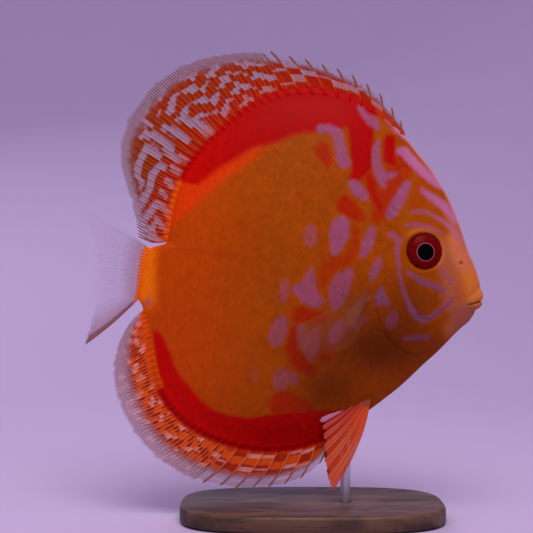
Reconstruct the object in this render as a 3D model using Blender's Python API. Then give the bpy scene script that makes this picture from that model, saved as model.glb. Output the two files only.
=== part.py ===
"""A discus fish as a still, life-size display model on a flat base with one rod.

The fish faces +X with its back towards +Z, and the floor is z = 0. The side view of the fish is drawn
in the disc's own plane: x forward and z up, both measured from the middle of the body disc.
"""
import math

import bmesh
import bpy
import numpy as np
from mathutils import Matrix, Vector

MM = 0.001

# Clearance kept between solids that touch
GAP = 0.3 * MM

# Where the middle of the body disc stands in the part's frame
DISC_X = 5.72 * MM
DISC_Z = 88.6 * MM

# Outline of the scaled body from the side: angle in degrees from the snout's direction, turning up
# and over the back, and the radius from the disc's middle in millimetres
OUTLINE = (
    (0, 61.0), (5, 59.0), (10, 58.1), (18, 57.3), (32, 56.9), (41, 56.9),
    (49, 57.8), (57, 59.0), (66, 60.2), (75, 61.0), (84, 61.2), (93, 60.6),
    (102, 58.7), (110, 56.6), (118, 54.5), (127, 53.0), (137, 51.8), (147, 50.1),
    (156, 48.4), (164, 47.1), (169.5, 46.9), (171.2, 47.6), (173.5, 52.3), (177, 54.0),
    (181, 54.6), (186, 55.8), (191.5, 57.8), (194.5, 56.9), (200, 57.0), (205, 58.0),
    (210, 59.9), (217, 63.1), (224, 65.8), (230, 67.2), (237, 67.6), (248, 66.8),
    (258, 65.5), (267, 63.8), (277, 61.2), (287, 58.5), (297, 56.1), (306, 55.2),
    (314, 55.1), (320, 55.4), (327, 56.8), (334, 58.7), (338, 60.3), (342, 62.6),
    (346, 63.7), (350, 64.1), (353, 63.7), (356, 62.6),
)

# Half of the body's greatest width, at the middle of the disc
HALF_WIDTH = 11.6 * MM

# How the width falls off by angle: radius at which it would reach nothing in millimetres, power of the
# distance, and power of what is left
FALL_OFF = (
    (0, 64.5, 2.6, 0.50), (20, 58.6, 2.3, 0.56), (41, 58.0, 2.1, 0.68), (57, 60.8, 1.9, 0.80),
    (75, 63.0, 1.8, 0.86), (93, 62.6, 1.7, 0.92), (118, 58.5, 1.7, 0.98), (140, 56.5, 1.6, 1.0),
    (160, 57.8, 1.6, 1.05), (180, 60.5, 1.6, 1.1), (198, 61.5, 1.6, 1.05), (217, 65.0, 1.6, 1.0),
    (237, 69.4, 1.7, 0.94), (258, 67.2, 1.8, 0.88), (277, 63.0, 1.9, 0.80), (297, 57.4, 2.1, 0.68),
    (320, 56.4, 2.3, 0.58), (342, 63.0, 2.6, 0.50),
)

# Half thickness of the body's edge by angle: thin where it is free, wider where a fin stands on it
EDGE_HALF = (
    (0, 0.4), (44, 0.4), (52, 0.85), (70, 1.1), (165, 1.0), (171.5, 0.7), (175, 0.9),
    (190, 0.9), (194.5, 0.7), (202, 1.0), (270, 1.1), (282, 0.85), (292, 0.4), (355, 0.4),
)

# Share of the radius beyond which the flank rounds off to the edge
ROUND_FROM = 0.82

# Swellings of the flank: name, centre in the side view, height, and half spread along x and z, in mm
SWELLINGS = (
    ("muzzle", 60.0, -11.0, 1.3, 4.5, 5.0),
    ("brow", 43.0, 12.0, 0.5, 7.0, 4.0),
    ("cheek", 38.0, -14.0, 0.6, 8.0, 8.0),
)

# Eye: centre in the side view, radius, how far the dome and the back reach, and how deep its rim lies
EYE_AT = (42.6 * MM, 4.7 * MM)
EYE_RADIUS = 6.1 * MM
EYE_DOME = 2.3 * MM
EYE_BACK = 3.6 * MM
EYE_SUNK = 0.9 * MM

# Line of the closed mouth in the side view, from the front of the lips to the corner
MOUTH_FRONT = (63.9 * MM, -11.2 * MM)
MOUTH_CORNER = (59.0 * MM, -14.0 * MM)
LIP_FRONT = 1.5 * MM
LIP_CORNER = 0.6 * MM

# Nostril pit in front of the eye
NOSTRIL_AT = (55.6 * MM, 0.4 * MM)
NOSTRIL_RADIUS = 0.75 * MM

# The lower jaw ends on this line, from the corner of the mouth to the throat
JAW_BACK = ((57.6, -16.4), (55.6, -20.0), (54.0, -30.0))

# The head ends on this line, from the nape along the gill opening to the throat
GILL_LINE = (
    (41.5, 47.0), (38.4, 41.0), (33.5, 28.0), (30.8, 14.0), (28.9, 4.0), (27.9, -6.0), (28.8, -16.0),
    (32.4, -25.0), (38.5, -32.5), (46.0, -39.0),
)

# Gill cover, from its top to its lower end: the front edge, and the free rear edge
COVER_FRONT = (
    (33.4, 12.6), (35.6, 10.4), (35.8, 3.0), (37.2, -7.0), (38.6, -15.0), (42.4, -21.4), (46.4, -24.6),
    (48.2, -26.6),
)
COVER_REAR = (
    (31.6, 12.2), (29.4, 9.0), (26.9, 1.5), (25.5, -7.0), (26.5, -16.5), (31.4, -26.0), (40.0, -31.0),
    (46.4, -28.8),
)
COVER_RAISED = 0.5 * MM
COVER_DEEP = 0.8 * MM

# The tail stalk starts on this line
STALK_LINE = ((-45.2, 20.0), (-46.0, 8.6), (-47.2, -4.0), (-49.0, -16.0), (-58.0, -20.5))

# Fins: thickness of the web at root and margin, and how far the rays stand up from it
WEB_ROOT_HALF = 0.34 * MM
WEB_HALF = 0.27 * MM
WEB_TIP_HALF = 0.13 * MM
RAY_HEIGHT = 0.36 * MM
RAY_TIP_HEIGHT = 0.07 * MM

# How far the web is hollowed between two spines and between two soft rays
SPINE_NOTCH = 1.1 * MM
RAY_NOTCH = 0.4 * MM

# The fins' margins sway a little to both sides: how far, and how many turns round the disc
SWAY = 0.6 * MM
SWAYS = 3.0

# Back fin: angle of a ray's root, angle of its tip on the margin, and how far it bows for its length;
# then the margin's radius in mm by angle
DORSAL_RAYS = (
    (49.8, 52.4, -0.04), (60, 64.5, -0.06), (70, 76, -0.06), (90, 97.5, -0.05), (110, 115.5, -0.03),
    (131.5, 135.5, 0.0), (150, 150.5, 0.02), (158.5, 156.5, 0.03), (165, 163.5, 0.07), (169.3, 170.3, 0.12),
)
DORSAL_MARGIN = (
    (50, 58.5), (56.5, 62.6), (65, 66.3), (75, 69.2), (84.5, 71.2), (92.5, 73.3), (100.5, 75.6),
    (108, 78.0), (115.5, 80.0), (123.5, 81.2), (130.5, 80.8), (137.5, 79.3), (144, 76.9),
    (149, 73.6), (153, 69.4), (159, 63.6), (165.5, 59.4), (170.5, 57.6),
)
DORSAL_SPLIT = 92.0

# Belly fin behind the vent, in the same terms
ANAL_RAYS = (
    (195.6, 198.8, -0.05), (200, 203.6, -0.03), (205, 206.8, -0.02), (214.5, 212.7, 0.0),
    (224, 219.8, 0.0), (231.5, 226, 0.01), (240.5, 235, 0.03), (257.5, 251.5, 0.05),
    (270, 264, 0.06), (278, 273, 0.06), (281.6, 279.5, 0.04),
)
ANAL_MARGIN = (
    (198.5, 62.0), (201, 66.0), (206, 72.0), (210, 75.6), (217.5, 79.8), (228, 83.2), (235, 84.2),
    (242, 84.0), (249, 82.9), (256.5, 81.1), (264, 78.4), (270, 75.4), (275.5, 70.6), (280, 64.6),
)
ANAL_SPLIT = 250.0

# Tail fin: tips of the outer rays and how far the margin is hollowed between them
TAIL_ROOT = (174.4, 191.2)
TAIL_TOP_TIP = (-75.6 * MM, 19.2 * MM)
TAIL_LOW_TIP = (-75.6 * MM, -28.4 * MM)
TAIL_HOLLOW = 4.2 * MM

# Breast fins: root on the flank, length, and the fan from its upper to its lower ray below level
PECTORAL_ROOT = (22.2 * MM, -10.6 * MM)
PECTORAL_ROOT_HALF = 2.0 * MM
PECTORAL_LENGTH = 28.0 * MM
PECTORAL_FAN = (30.0, 78.0)
PECTORAL_OUT = 24.0

# Belly fins in front: root line along the keel, and the fan of rays below level
PELVIC_ROOT = ((18.6, -47.4), (24.4, -48.4))
PELVIC_SIDE = 2.6 * MM
PELVIC_FAN = (34.0, 82.0)
PELVIC_LENGTHS = (12.5, 31.0)
PELVIC_OUT = 12.0

# Display stand
BASE_LENGTH = 92.0 * MM
BASE_WIDTH = 58.0 * MM
BASE_HEIGHT = 6.0 * MM
BASE_CHAMFER = 1.0 * MM
BASE_X = 10.0 * MM
ROD_RADIUS = 1.8 * MM
ROD_X = 21.7 * MM
ROD_SOCKET = 3.5 * MM
ROD_GRIP = 3.0 * MM


def through(knots, values, at):
    """Value at each place of a curve that passes through the knots and never overshoots them."""
    x, y = np.asarray(knots, float), np.asarray(values, float)
    step = np.diff(x)
    slope = np.diff(y) / step
    both = slope[:-1] * slope[1:]
    total = slope[:-1] + slope[1:]
    inner = np.where(both > 0, 2 * both / np.where(total == 0, 1, total), 0)
    tangent = np.concatenate([slope[:1], inner, slope[-1:]])
    at = np.clip(at, x[0], x[-1])
    i = np.clip(np.searchsorted(x, at) - 1, 0, len(step) - 1)
    t = (at - x[i]) / step[i]
    rise = t * t * (3 - 2 * t)
    leave = t * (1 - t) ** 2 * step[i] * tangent[i]
    arrive = t * t * (t - 1) * step[i] * tangent[i + 1]
    return y[i] + (y[i + 1] - y[i]) * rise + leave + arrive


def around(table, column, angle):
    """A table's column at angles in degrees, carried on past the full turn."""
    knots = np.array([row[0] for row in table], float)
    values = np.array([row[column] for row in table], float)
    wrapped = np.concatenate([knots[-2:] - 360, knots, knots[:2] + 360])
    return through(wrapped, np.concatenate([values[-2:], values, values[:2]]), np.mod(angle, 360))


def place(angle, radius):
    """Side-view point at an angle in degrees and a radius."""
    turned = np.radians(angle)
    return np.stack([radius * np.cos(turned), radius * np.sin(turned)], -1)


def edge_radius(angle):
    return around(OUTLINE, 1, angle) * MM


def half_width(x, z):
    """Half of the body's width across at a side-view point."""
    angle, radius = np.degrees(np.arctan2(z, x)), np.hypot(x, z)
    edge = around(EDGE_HALF, 1, angle) * MM
    spent = np.clip(radius / (around(FALL_OFF, 1, angle) * MM), 0, 0.995)
    width = HALF_WIDTH * (1 - spent ** around(FALL_OFF, 2, angle)) ** around(FALL_OFF, 3, angle)
    for _, at_x, at_z, height, spread_x, spread_z in SWELLINGS:
        away = ((x / MM - at_x) / spread_x) ** 2 + ((z / MM - at_z) / spread_z) ** 2
        width = width + height * MM * np.exp(-away / 2)
    turned = np.clip((radius / edge_radius(angle) - ROUND_FROM) / (1 - ROUND_FROM), 0, 1)
    return edge + np.maximum(width - edge, 0) * np.sqrt(1 - turned**2.5)


def flank_frame(x, z, side):
    """Point on one flank, with the outward normal there."""
    step = 0.2 * MM
    slope_x = (half_width(x + step, z) - half_width(x - step, z)) / (2 * step)
    slope_z = (half_width(x, z + step) - half_width(x, z - step)) / (2 * step)
    normal = Vector((-slope_x, side, -slope_z)).normalized()
    return Vector((x, side * float(half_width(x, z)), z)), normal


def material(name, colour, roughness, metallic=0.0):
    found = bpy.data.materials.get(name)
    if found:
        return found
    made = bpy.data.materials.new(name)
    made.use_nodes = True
    shader = made.node_tree.nodes["Principled BSDF"]
    shader.inputs["Base Color"].default_value = (*colour, 1.0)
    shader.inputs["Roughness"].default_value = roughness
    shader.inputs["Metallic"].default_value = metallic
    return made


def solid(name, points, faces, finish=None):
    """One closed object from points in metres; the faces are turned to point outwards."""
    mesh = bpy.data.meshes.new(name)
    mesh.from_pydata([tuple(p) for p in points], [], [tuple(f) for f in faces])
    shape = bmesh.new()
    shape.from_mesh(mesh)
    bmesh.ops.recalc_face_normals(shape, faces=shape.faces)
    if shape.calc_volume(signed=True) < 0:
        bmesh.ops.reverse_faces(shape, faces=shape.faces)
    shape.to_mesh(mesh)
    shape.free()
    made = bpy.data.objects.new(name, mesh)
    bpy.context.scene.collection.objects.link(made)
    if finish:
        mesh.materials.append(finish)
    return made


def combine(target, operation, others):
    """Joins or cuts the target with closed helper solids, applies the result and removes the helpers."""
    helpers = bpy.data.collections.new("helpers")
    bpy.context.scene.collection.children.link(helpers)
    for other in others:
        for home in list(other.users_collection):
            home.objects.unlink(other)
        helpers.objects.link(other)
    boolean = target.modifiers.new("join", "BOOLEAN")
    boolean.operation = operation
    boolean.operand_type = "COLLECTION"
    boolean.collection = helpers
    boolean.solver = "EXACT"
    graph = bpy.context.evaluated_depsgraph_get()
    result = bpy.data.meshes.new_from_object(target.evaluated_get(graph))
    target.modifiers.remove(boolean)
    target.data = result
    for other in list(others):
        bpy.data.objects.remove(other)
    bpy.data.collections.remove(helpers)


def loose_pieces(mesh):
    """Closed surfaces of a mesh as (volume, middle, points, faces), the largest first."""
    shape = bmesh.new()
    shape.from_mesh(mesh)
    bmesh.ops.triangulate(shape, faces=shape.faces)
    seen = set()
    pieces = []
    for start in shape.faces:
        if start in seen:
            continue
        seen.add(start)
        queue, group = [start], []
        while queue:
            face = queue.pop()
            group.append(face)
            for edge in face.edges:
                for other in edge.link_faces:
                    if other not in seen:
                        seen.add(other)
                        queue.append(other)
        order = {}
        faces = [[order.setdefault(v, len(order)) for v in face.verts] for face in group]
        points = np.array([v.co for v in order])
        corners = points[np.array(faces)]
        volume = np.einsum("ij,ij->i", corners[:, 0], np.cross(corners[:, 1], corners[:, 2])).sum() / 6
        pieces.append((volume, points.mean(0), points, faces))
    shape.free()
    return sorted(pieces, key=lambda piece: -piece[0])


def keep_largest(made):
    """Drops sealed hollows and loose scraps from a node."""
    _, _, points, faces = loose_pieces(made.data)[0]
    finish = made.data.materials[0] if made.data.materials else None
    name = made.name
    bpy.data.objects.remove(made)
    return solid(name, points, faces, finish)


def body_solid(name, angles, shares, grow=0.0):
    """The whole scaled body as a closed surface of rings about the disc's middle, grown if asked."""
    count, rings = len(angles), len(shares)
    edge = edge_radius(angles)
    points, faces = [], []
    for side in (-1, 1):
        first = len(points)
        points.append((0.0, side * (float(half_width(0.0, 0.0)) + grow), 0.0))
        for share in shares:
            flat = place(angles, edge * share)
            width = half_width(flat[:, 0], flat[:, 1]) + grow
            wider = place(angles, edge * share + grow * share)
            points += [(x, side * w, z) for (x, z), w in zip(wider, width)]
        for i in range(count):
            after = (i + 1) % count
            faces.append((first, first + 1 + i, first + 1 + after))
            for ring in range(rings - 1):
                a = first + 1 + ring * count
                b = a + count
                faces.append((a + i, b + i, b + after))
                faces.append((a + i, b + after, a + after))
    rim = 1 + (rings - 1) * count
    other = 1 + rings * count + rim
    for i in range(count):
        after = (i + 1) % count
        faces.append((rim + i, rim + after, other + after))
        faces.append((rim + i, other + after, other + i))
    return solid(name, points, faces)


def body_angles(step):
    """Angles of the body's spokes: even ones, with the corners of the tail stalk kept."""
    corners = [169.5, 171.2, 173.5, 191.5, 194.5]
    even = [a for a in np.arange(0, 360, step) if min(abs(a - c) for c in corners) > step / 4]
    return np.array(sorted(even + corners))


def shifted(line, distance):
    """A side-view line moved sideways, to the left of its own direction."""
    line = np.asarray(line, float)
    along = np.gradient(line, axis=0)
    along /= np.linalg.norm(along, axis=1, keepdims=True)
    return line + distance * np.stack([-along[:, 1], along[:, 0]], -1)


def fine_line(line, count):
    """A smooth line of evenly spaced points through a few given in millimetres."""
    line = np.asarray(line, float) * MM
    run = np.concatenate([[0], np.cumsum(np.linalg.norm(np.diff(line, axis=0), axis=1))])
    at = np.linspace(0, run[-1], count)
    return np.stack([through(run, line[:, 0], at), through(run, line[:, 1], at)], -1)


def blade(name, line):
    """A thin blade through the body along a side-view line, which leaves the gap between two nodes."""
    reach = 2 * HALF_WIDTH
    one, two = shifted(line, GAP / 2), shifted(line, -GAP / 2)
    count = len(line)
    points = [(x, y, z) for y in (-reach, reach) for row in (one, two) for x, z in row]
    faces = []
    for i in range(count - 1):
        a, b, c, d = i, count + i, 2 * count + i, 3 * count + i
        faces += [(a, a + 1, b + 1, b), (c, d, d + 1, c + 1), (a, c, c + 1, a + 1), (b, b + 1, d + 1, d)]
    for end in (0, count - 1):
        faces.append((end, count + end, 3 * count + end, 2 * count + end))
    return solid(name, points, faces)


def round_solid(name, centre, axis, radius, out, back, turns=20, rows=10, grow=0.0):
    """A flattened ball: round across its axis, reaching out and back by different amounts."""
    turn = axis.to_track_quat("Z", "Y").to_matrix()
    points = [centre + turn @ Vector((0, 0, out + grow))]
    for row in range(1, rows):
        lift = math.cos(math.pi * row / rows)
        ring = math.sin(math.pi * row / rows) * (radius + grow)
        depth = lift * ((out if lift > 0 else back) + grow)
        for i in range(turns):
            a = 2 * math.pi * i / turns
            points.append(centre + turn @ Vector((ring * math.cos(a), ring * math.sin(a), depth)))
    points.append(centre + turn @ Vector((0, 0, -back - grow)))
    last = len(points) - 1
    faces = []
    for i in range(turns):
        after = (i + 1) % turns
        faces.append((0, 1 + i, 1 + after))
        for row in range(rows - 2):
            a, b = 1 + row * turns, 1 + (row + 1) * turns
            faces.append((a + i, b + i, b + after, a + after))
        faces.append((last, last - turns + after, last - turns + i))
    return solid(name, points, faces)


def eye_solid(name, side, grow=0.0):
    point, normal = flank_frame(*EYE_AT, side)
    centre = point - normal * EYE_SUNK
    return round_solid(name, centre, normal, EYE_RADIUS, EYE_DOME, EYE_BACK, 22, 9, grow)


def lip_solid(name, up):
    """A lip as a tapering tube half sunk in the muzzle, just above or below the mouth's line."""
    front, corner = Vector(MOUTH_FRONT), Vector(MOUTH_CORNER)
    along = (corner - front).normalized()
    across = Vector((-along.y, along.x)) * (-1 if up else 1)
    level = front + across * LIP_FRONT * 0.86
    near, far = -5 * MM, 5 * MM
    for _ in range(30):
        half_way = (near + far) / 2
        flat = level + along * half_way
        outside = flat.length > float(edge_radius(math.degrees(math.atan2(flat.y, flat.x))))
        near, far = (half_way, far) if outside else (near, half_way)
    start, end = level + along * (far + 0.02 * MM), corner + across * LIP_CORNER * 0.86
    samples, sides = 17, 10
    centres, shapes = [], []
    for turned in np.linspace(-90, 90, samples).tolist():
        back = 1 - math.cos(math.radians(turned))
        flat = start.lerp(end, back)
        width = float(half_width(flat.x, flat.y)) * math.sin(math.radians(min(abs(turned) * 3, 90)))
        centres.append(Vector((flat.x, math.copysign(width, turned) if abs(turned) > 1 else 0.0, flat.y)))
        shapes.append((LIP_FRONT + (LIP_CORNER - LIP_FRONT) * back, 0.5 + 0.4 * back))
    points, faces = [], []
    for i, centre in enumerate(centres):
        before, after = centres[max(i - 1, 0)], centres[min(i + 1, samples - 1)]
        tangent = (after - before).normalized()
        outward = tangent.cross(Vector((0, 0, 1))).normalized()
        upward = outward.cross(tangent)
        radius, sunk = shapes[i]
        middle = centre - outward * radius * sunk
        for k in range(sides):
            a = 2 * math.pi * (k + 0.5) / sides
            reach = max(math.cos(a), 0.35 * math.cos(a))
            points.append(middle + radius * (reach * outward + math.sin(a) * upward))
    for i in range(samples - 1):
        for k in range(sides):
            a, b = i * sides + k, i * sides + (k + 1) % sides
            faces.append((a, b, b + sides, a + sides))
    faces.append(tuple(range(sides)))
    faces.append(tuple(range((samples - 1) * sides, samples * sides)))
    return solid(name, points, faces)


def cover_solid(name, side, finish=None, grow=0.0, rows=13, columns=7):
    """A gill cover: a plate that follows the flank, flush in front and raised along its free rear edge."""
    front, rear = fine_line(COVER_FRONT, rows), fine_line(COVER_REAR, rows)
    stretch = 1 + 2 * grow / np.linalg.norm(front[-1] - front[0])
    for line in (front, rear):
        middle = line.mean(0)
        line[:] = middle + (line - middle) * stretch
    front, rear = shifted(front, grow), shifted(rear, -grow)
    outer, inner = [], []
    for i in range(rows):
        for k in range(columns):
            t = k / (columns - 1)
            x, z = front[i] * (1 - t) + rear[i] * t
            end = min(i, rows - 1 - i, 2) / 2
            rise = COVER_RAISED * (0.25 + 0.75 * t) * (0.4 + 0.6 * end)
            width = float(half_width(x, z))
            top = width + (rise if not grow else 4 * HALF_WIDTH)
            outer.append((x, side * top, z))
            inner.append((x, side * (width - COVER_DEEP - grow), z))
    points = outer + inner
    count = rows * columns
    faces = []
    for i in range(rows - 1):
        for k in range(columns - 1):
            a = i * columns + k
            b = a + columns
            faces += [(a, b, b + 1), (a, b + 1, a + 1)]
            faces += [(a + count, b + 1 + count, b + count), (a + count, a + 1 + count, b + 1 + count)]
    border = [k for k in range(columns)]
    border += [i * columns + columns - 1 for i in range(1, rows)]
    border += [(rows - 1) * columns + k for k in range(columns - 2, -1, -1)]
    border += [i * columns for i in range(rows - 2, 0, -1)]
    for a, b in zip(border, border[1:] + border[:1]):
        faces += [(a, b, b + count), (a, b + count, a + count)]
    return solid(name, points, faces, finish)


def fin_solid(name, middle, across, half, columns, rows, finish):
    """A fin as one closed sheet. Both faces are split into triangles alike, so thin curved webs stay closed."""
    points = []
    for side in (-1, 1):
        for u in columns:
            for v in rows:
                points.append(Vector(middle(u, v)) + side * half(u, v) * Vector(across(u, v)))
    high, wide = len(rows), len(columns)
    count = high * wide
    faces = []
    for i in range(wide - 1):
        for j in range(high - 1):
            a = i * high + j
            b = a + high
            faces += [(a, b, b + 1), (a, b + 1, a + 1)]
            faces += [(a + count, b + 1 + count, b + count), (a + count, a + 1 + count, b + 1 + count)]
    border = [i * high for i in range(wide)] + [(wide - 1) * high + j for j in range(1, high)]
    border += [i * high + high - 1 for i in range(wide - 2, -1, -1)]
    border += [j for j in range(high - 2, 0, -1)]
    for a, b in zip(border, border[1:] + border[:1]):
        faces += [(a, b, b + count), (a, b + count, a + count)]
    return solid(name, points, faces, finish)


def ray_columns(first, last, count):
    """Places across a fin, three to a ray: its two feet on the web with its crest between them."""
    pitch = (last - first) / count
    crests = first + pitch * (np.arange(count) + 0.5)
    foot = 0.27 * pitch
    places = [first]
    for crest in crests:
        places += [crest - foot, crest, crest + foot]
    return places + [last], list(crests)


def ray_half(crests, v_share):
    """Half thickness of a fin from root to margin, with the rays standing up along their crests."""
    def half(u, v):
        web = np.interp(v, (0, 0.25, 0.8, 1), (WEB_ROOT_HALF, WEB_HALF, WEB_HALF, WEB_TIP_HALF))
        on_crest = min(abs(u - c) for c in crests) < 1e-6
        ray = RAY_TIP_HEIGHT + (RAY_HEIGHT - RAY_TIP_HEIGHT) * (1 - v**v_share)
        return float(web + (ray if on_crest else 0))
    return half


FIN_ROWS = (0.0, 0.3, 0.65, 0.9, 1.0)


def median_fin(name, rays, margin, first, last, count, notch, finish):
    """A stretch of the back or belly fin, whose rays run from the body's edge to the fin's margin."""
    roots, tips, bows = ([row[i] for row in rays] for i in range(3))
    columns, crests = ray_columns(first, last, count)
    foot = 0.27 * (last - first) / count

    def middle(u, v):
        root_angle = u
        root = place(root_angle, float(edge_radius(root_angle)) + GAP)
        tip_angle = float(through(roots, tips, root_angle))
        reach = float(through([m[0] for m in margin], [m[1] for m in margin], tip_angle)) * MM
        run = place(tip_angle, reach) - root
        apart = min(abs(u - c) for c in crests)
        run *= 1 - notch * min(apart / foot, 1) / np.linalg.norm(run)
        side = np.array([-run[1], run[0]])
        x, z = root + run * v + side * float(through(roots, bows, u)) * math.sin(math.pi * v)
        y = SWAY * v * v * math.sin(math.radians(SWAYS * u))
        return (x, y, z)

    return fin_solid(name, middle, lambda u, v: (0, 1, 0), ray_half(crests, 1.3), columns, FIN_ROWS, finish)


def tail_fin(name, count, finish):
    columns, crests = ray_columns(0.0, 1.0, count)
    foot = 0.27 / count
    top, low = np.array(TAIL_TOP_TIP), np.array(TAIL_LOW_TIP)

    def middle(u, v):
        root_angle = TAIL_ROOT[0] + (TAIL_ROOT[1] - TAIL_ROOT[0]) * u
        root = place(root_angle, float(edge_radius(root_angle)) + GAP)
        tip = top + (low - top) * u
        tip[0] += TAIL_HOLLOW * (1 - (2 * u - 1) ** 2)
        apart = min(abs(u - c) for c in crests)
        tip = root + (tip - root) * (1 - 0.02 * min(apart / foot, 1))
        x, z = root + (tip - root) * v
        z += 0.9 * MM * math.sin(math.pi * v) * (1 - 2 * u)
        y = 0.9 * MM * v * v * math.sin(2.2 * math.pi * u)
        return (x, y, z)

    return fin_solid(name, middle, lambda u, v: (0, 1, 0), ray_half(crests, 1.3), columns, FIN_ROWS, finish)


def fan_fin(name, side, root_low, root_high, lengths, fan, out, sweep, side_at, count, finish, cutter):
    """A paired fin: rays fan from a short root that is sunk in the flank and then cut clear of it."""
    columns, crests = ray_columns(0.0, 1.0, count)
    low, high = np.array(root_low), np.array(root_high)
    spread = math.radians(out)

    def middle(u, v):
        angle = math.radians(fan[0] + (fan[1] - fan[0]) * u)
        reach = lengths(u)
        x, z = high + (low - high) * u
        run = reach * v - 1.6 * MM * (1 - v)
        flat = run * math.cos(spread * (1 - 0.35 * v))
        bend = sweep * reach * v * v
        x -= flat * math.cos(angle) + bend * math.sin(angle)
        z -= flat * math.sin(angle) - bend * math.cos(angle) * 0.3
        y = side * (side_at + run * math.sin(spread * (1 - 0.35 * v)))
        return (x, y, z)

    def across(u, v):
        step = 0.01
        along = Vector(middle(u, min(v + step, 1))) - Vector(middle(u, max(v - step, 0)))
        over = Vector(middle(min(u + step, 1), v)) - Vector(middle(max(u - step, 0), v))
        return along.cross(over).normalized()

    rows = (0.0, 0.12, 0.4, 0.75, 1.0)
    made = fin_solid(name, middle, across, ray_half(crests, 1.3), columns, rows, finish)
    combine(made, "DIFFERENCE", [cutter()])
    return keep_largest(made)


def rod_solid(name, finish):
    """The stand's rod, whose top is hollowed to hold the keel of the belly."""
    top = float(-edge_radius(math.degrees(math.atan2(-58.0, ROD_X / MM - DISC_X / MM)))) + ROD_GRIP
    bottom = BASE_HEIGHT - ROD_SOCKET + GAP - DISC_Z
    turns = 20
    points = [
        (ROD_X - DISC_X + ROD_RADIUS * math.cos(a), ROD_RADIUS * math.sin(a), z)
        for z in (bottom, top)
        for a in (2 * math.pi * i / turns for i in range(turns))
    ]
    faces = [(i, (i + 1) % turns, turns + (i + 1) % turns, turns + i) for i in range(turns)]
    faces += [tuple(range(turns)), tuple(range(turns, 2 * turns))]
    return solid(name, points, faces, finish)


def base_solid(name, finish):
    """The stand's flat base with rounded corners, a chamfered top edge and the rod's socket."""
    turns, power = 40, 3.2
    points = []
    inset_rows = ((0.0, 0.0), (BASE_HEIGHT - BASE_CHAMFER, 0.0), (BASE_HEIGHT, BASE_CHAMFER))
    for height, inset in inset_rows:
        for i in range(turns):
            a = 2 * math.pi * i / turns
            c, s = math.cos(a), math.sin(a)
            x = math.copysign(abs(c) ** (2 / power), c) * (BASE_LENGTH / 2 - inset)
            y = math.copysign(abs(s) ** (2 / power), s) * (BASE_WIDTH / 2 - inset)
            points.append((BASE_X - DISC_X + x, y, height - DISC_Z))
    faces = [tuple(range(turns)), tuple(range(2 * turns, 3 * turns))]
    for row in range(2):
        for i in range(turns):
            a, b = row * turns + i, row * turns + (i + 1) % turns
            faces.append((a, b, b + turns, a + turns))
    made = solid(name, points, faces, finish)
    sides, radius = 20, ROD_RADIUS + GAP
    low, high = BASE_HEIGHT - ROD_SOCKET - DISC_Z, BASE_HEIGHT + 2 * MM - DISC_Z
    hole = [
        (ROD_X - DISC_X + radius * math.cos(a), radius * math.sin(a), z)
        for z in (low, high)
        for a in (2 * math.pi * i / sides for i in range(sides))
    ]
    walls = [(i, (i + 1) % sides, sides + (i + 1) % sides, sides + i) for i in range(sides)]
    walls += [tuple(range(sides)), tuple(range(sides, 2 * sides))]
    combine(made, "DIFFERENCE", [solid("socket", hole, walls)])
    return made


def build_body(finish, lip_finish):
    """Head, lower jaw, torso and tail stalk: one body, hollowed for eyes and gill covers and parted by thin cuts."""
    shares = [math.sin(math.pi / 2 * i / 10) for i in (1, 2, 3, 4, 5, 6, 7, 8, 9, 9.55, 10)]
    whole = body_solid("body", body_angles(5.5), shares)
    combine(whole, "UNION", [lip_solid("upper lip", True), lip_solid("lower lip", False)])
    whole = keep_largest(whole)
    for side in (-1, 1):
        point, normal = flank_frame(*NOSTRIL_AT, side)
        pit = round_solid("nostril", point, normal, NOSTRIL_RADIUS, 0.6 * MM, 0.9 * MM, 10, 6)
        for cutter in (eye_solid("socket", side, GAP), cover_solid("cover room", side, None, GAP), pit):
            combine(whole, "DIFFERENCE", [cutter])
            whole = keep_largest(whole)
    mouth = np.array([(x / MM, z / MM) for x, z in (MOUTH_FRONT, MOUTH_CORNER)])
    ahead = mouth[0] + (mouth[0] - mouth[1])
    jaw_line = fine_line([ahead, *mouth, *JAW_BACK], 14)
    for line in (jaw_line, fine_line(GILL_LINE, 18), fine_line(STALK_LINE, 8)):
        combine(whole, "DIFFERENCE", [blade("blade", line)])
    found = loose_pieces(whole.data)[:4]
    bpy.data.objects.remove(whole)
    by_place = sorted(found, key=lambda piece: piece[1][0])
    names = ("tail_stalk", "torso", "head", "lower_jaw")
    for name, (_, _, points, faces) in zip(names, by_place):
        solid(name, points, faces, finish if name != "lower_jaw" else lip_finish)


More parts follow.
